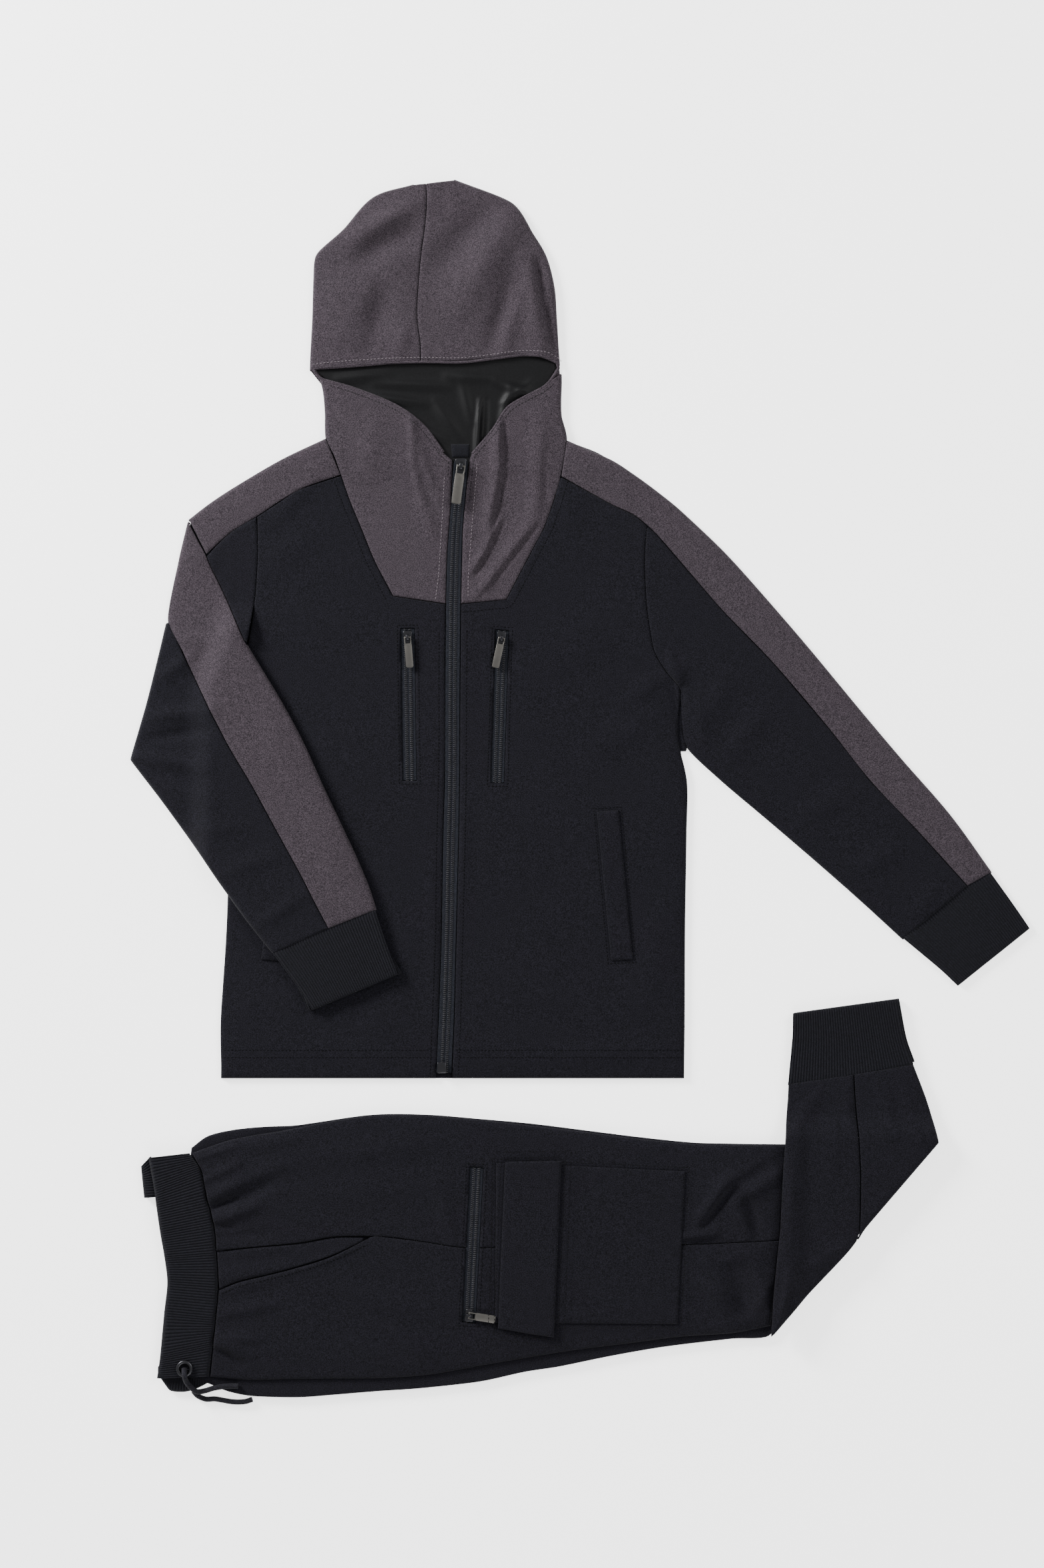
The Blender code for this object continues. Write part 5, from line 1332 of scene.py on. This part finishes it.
def bridgeArm(scale, thick):
    reach, hole = bridge["reach"] * scale, bridge["hole"] * scale
    low = -(sliderBody["pivotRise"] * scale + thick / 2)
    arch = [(reach * c, bridge["shoulder"] * scale + bridge["arch"] * scale * s)
            for c, s in arcPoints(13, 15)]
    eye = [(hole * c, hole * s) for c, s in arcPoints(12, 30)]
    return ringPlate([(-reach, low), (reach, low), *arch], eye, 2 * bridge["halfWidth"] * scale,
                     bridge["bevel"] * scale)


def pullTab(scale, length, width):
    bar, opening, inner = tab["bar"] * scale, tab["opening"] * scale, tab["half"] * scale
    half, neck, flare = width / 2, inner + tab["rail"] * scale, opening + tab["flare"] * scale
    corner, middle = tab["corner"], tab["cornerMiddle"]
    lower = [(-bar, -neck), (opening, -neck), (flare, -half), (length - corner, -half),
             (length - middle, -half + middle), (length, -half + corner)]
    upper = [(x, -y) for x, y in reversed(lower)]
    ring = [(bar, -inner), (bar, inner), (opening, inner), (opening, -inner)]
    return ringPlate(lower + upper, ring, tab["wall"], tab["bevel"])


for sliderName, spec in sliders.items():
    x, y = spec["at"]
    scale = spec["scale"]
    floor = spec["floor"](x, y)
    thick = sliderBody["thick"] * scale
    shellPart = sliderShell(spec, (x, y, floor), thick)
    arm = bridgeArm(scale, thick)
    atPivot = Matrix.Translation(Vector((x, y, floor + thick + sliderBody["pivotRise"] * scale)))
    heading = Matrix.Rotation(math.radians(spec["tab"]), 4, "Z")
    bmesh.ops.transform(arm, verts=arm.verts,
                        matrix=atPivot @ heading @ Matrix.Rotation(math.radians(90), 4, "X"))
    addPiece(f"slider_{sliderName}_metal", joinSheets((shellPart, arm)), "sliderMetal", spec["garment"],
             (f"slider_{sliderName}",))
    plate = pullTab(scale, *spec["tabSize"])
    bmesh.ops.transform(plate, verts=plate.verts, matrix=atPivot @ heading)
    addPiece(f"pull_{sliderName}_metal", plate, "tabMetal", spec["garment"], (f"pull_{sliderName}",),
             body=f"{sliderName}_pull")
print("sliders:", len(sliders))

# Bottom box of the main zip, and the waistband's eyelet
box = {"at": (-4.6, 10.5), "rise": 1.9, "size": (7.5, 9.0, 2.6), "bevel": 0.7}
boxPiece = bmesh.new()
boxPlace = Matrix.Translation((*box["at"], jacketTop(*box["at"]) + box["rise"]))
bmesh.ops.create_cube(boxPiece, size=1, matrix=boxPlace @ Matrix.Diagonal((*box["size"], 1)))
softened(boxPiece, box["bevel"], 3)
addPiece("bottom_box_metal", boxPiece, "sliderMetal", "jacket", ("bottom_box",))
eyelet = {"at": (15.0, -84.5), "outer": 13.5, "hole": 8.0, "stretch": (1.15, 0.8, 1, 1)}
eyeletMinor = (eyelet["outer"] - eyelet["hole"]) / 4
bandTop = legCore + seamGap + 2.0 + 0.7
eyeletBm = bmesh.new()
bmesh.ops.create_circle(eyeletBm, segments=16, radius=eyeletMinor, matrix=Matrix.Translation(
    (eyelet["outer"] / 2 - eyeletMinor, 0, 0)) @ Matrix.Rotation(math.radians(90), 4, "X")
    @ Matrix.Diagonal(eyelet["stretch"]))
bmesh.ops.spin(eyeletBm, geom=eyeletBm.verts[:] + eyeletBm.edges[:], cent=(0, 0, 0), axis=(0, 0, 1),
               angle=math.tau, steps=48, use_merge=True)
bmesh.ops.recalc_face_normals(eyeletBm, faces=eyeletBm.faces)
bmesh.ops.translate(eyeletBm, verts=eyeletBm.verts, vec=(*eyelet["at"], bandTop + seamGap + eyeletMinor))
addPiece("eyelet_metal", eyeletBm, "sliderMetal", "joggers", ("eyelet",))

# Drawstring: two free ends from the eyelet and from behind the waistband
cordDiameter = 4.4
onBand = bandTop + cordDiameter / 2 + 0.5
lowCord = cordDiameter / 2 + 0.2
onLayers = 5.6 + cordDiameter / 2 + 0.3  # over the hidden layers of the leg
drawstrings = {
    "drawstring_near": {
        "route": ((15, -84.2), (15.6, -89.8), (16.5, -94.5), (19.5, -99), (25, -103.8), (32, -103.5),
                  (39, -101), (48, -99.6), (59, -99.3)),
        "heights": (onBand + 0.2, onBand + 3.4, onBand + 0.5, onBand - 1.2, lowCord + 6.2, lowCord + 3.4,
                    onLayers, onLayers, onLayers)},
    "drawstring_far": {
        "route": ((21.5, -104.4), (25.5, -108.6), (32, -111.2), (39, -111), (45.5, -112), (55, -113.5),
                  (64, -113.3), (70.4, -111.4)),
        "heights": (lowCord,) * 8},
}


def smoothRoute(points, perSpan):
    ends = [points[0] * 2 - points[1], *points, points[-1] * 2 - points[-2]]
    path = []
    for a, b, c, d in zip(ends, ends[1:], ends[2:], ends[3:]):
        for t in (k / perSpan for k in range(perSpan)):
            path.append(0.5 * (2 * b + (c - a) * t + (2 * a - 5 * b + 4 * c - d) * t * t
                               + (3 * b - a - 3 * c + d) * t ** 3))
    path.append(points[-1])
    return path


for cordName, spec in drawstrings.items():
    atX, atY = garmentAt["joggers"]
    route = [Vector((x, y, z)) for (x, y), z in zip(spec["route"], spec["heights"])]
    path = [Vector((p.x + atX, p.y + atY, p.z)) * mm for p in smoothRoute(route, 6)]
    string = roundCurve(f"{cordName}_cord", path, cordDiameter / 2, 5, "cord")
    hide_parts(cordName)
    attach(string, "garments")
    tuple(path[0])
    sum((b - a).length for a, b in zip(path, path[1:]))
print("drawstrings:", len(drawstrings))

# Floor, soft light and the camera straight above, in metres
studio = {"floorSize": 30, "floorDrop": 0.0005, "floorShade": 0.97, "floorGlow": 1.6, "skyPower": 0.7,
          "lens": 72.3, "sensor": 36, "cameraAt": (-0.0484, 0.00425, 2.608)}
floorMesh = bpy.data.meshes.new("studio floor")
floorBm = bmesh.new()
bmesh.ops.create_grid(floorBm, x_segments=1, y_segments=1, size=studio["floorSize"])
floorBm.to_mesh(floorMesh)
floorBm.free()
studioFloor = onStage("studio_floor", floorMesh)
studioFloor.location.z = -studio["floorDrop"]
floorPaint, floorShader, _, _ = startMaterial("studioFloor")
setInputs(floorShader, {"Base Color": (*[studio["floorShade"]] * 3, 1), "Roughness": 0.9,
                        "Emission Color": (1, 1, 1, 1), "Emission Strength": studio["floorGlow"]})
floorMesh.materials.append(floorPaint)
lamps = (
    {"name": "key", "at": (-2.1, 1.5, 1.15), "size": 0.8, "power": 190.0},
    {"name": "fill", "at": (1.9, 0.9, 2.2), "size": 1.6, "power": 55.0},
    {"name": "foot", "at": (0.4, -2.4, 2.0), "size": 1.6, "power": 35.0},
)
aim = Vector((-0.05, 0.0, 0.0))
for spec in lamps:
    lampData = bpy.data.lights.new(spec["name"], "AREA")
    lampData.size = spec["size"]
    lampData.energy = spec["power"]
    lamp = onStage(spec["name"], lampData)
    lamp.location = spec["at"]
    lamp.rotation_euler = (aim - Vector(spec["at"])).to_track_quat("-Z", "Y").to_euler()
world = bpy.data.worlds.new("studio")
world.use_nodes = True
setInputs(world.node_tree.nodes["Background"], {"Color": (1, 1, 1, 1), "Strength": studio["skyPower"]})
bpy.context.scene.world = world
cameraData = bpy.data.cameras.new("camera")
cameraData.lens = studio["lens"]
cameraData.sensor_width = studio["sensor"]
camera = onStage("camera", cameraData)
camera.location = studio["cameraAt"]
bpy.context.scene.camera = camera

print("tracksuit dressed")
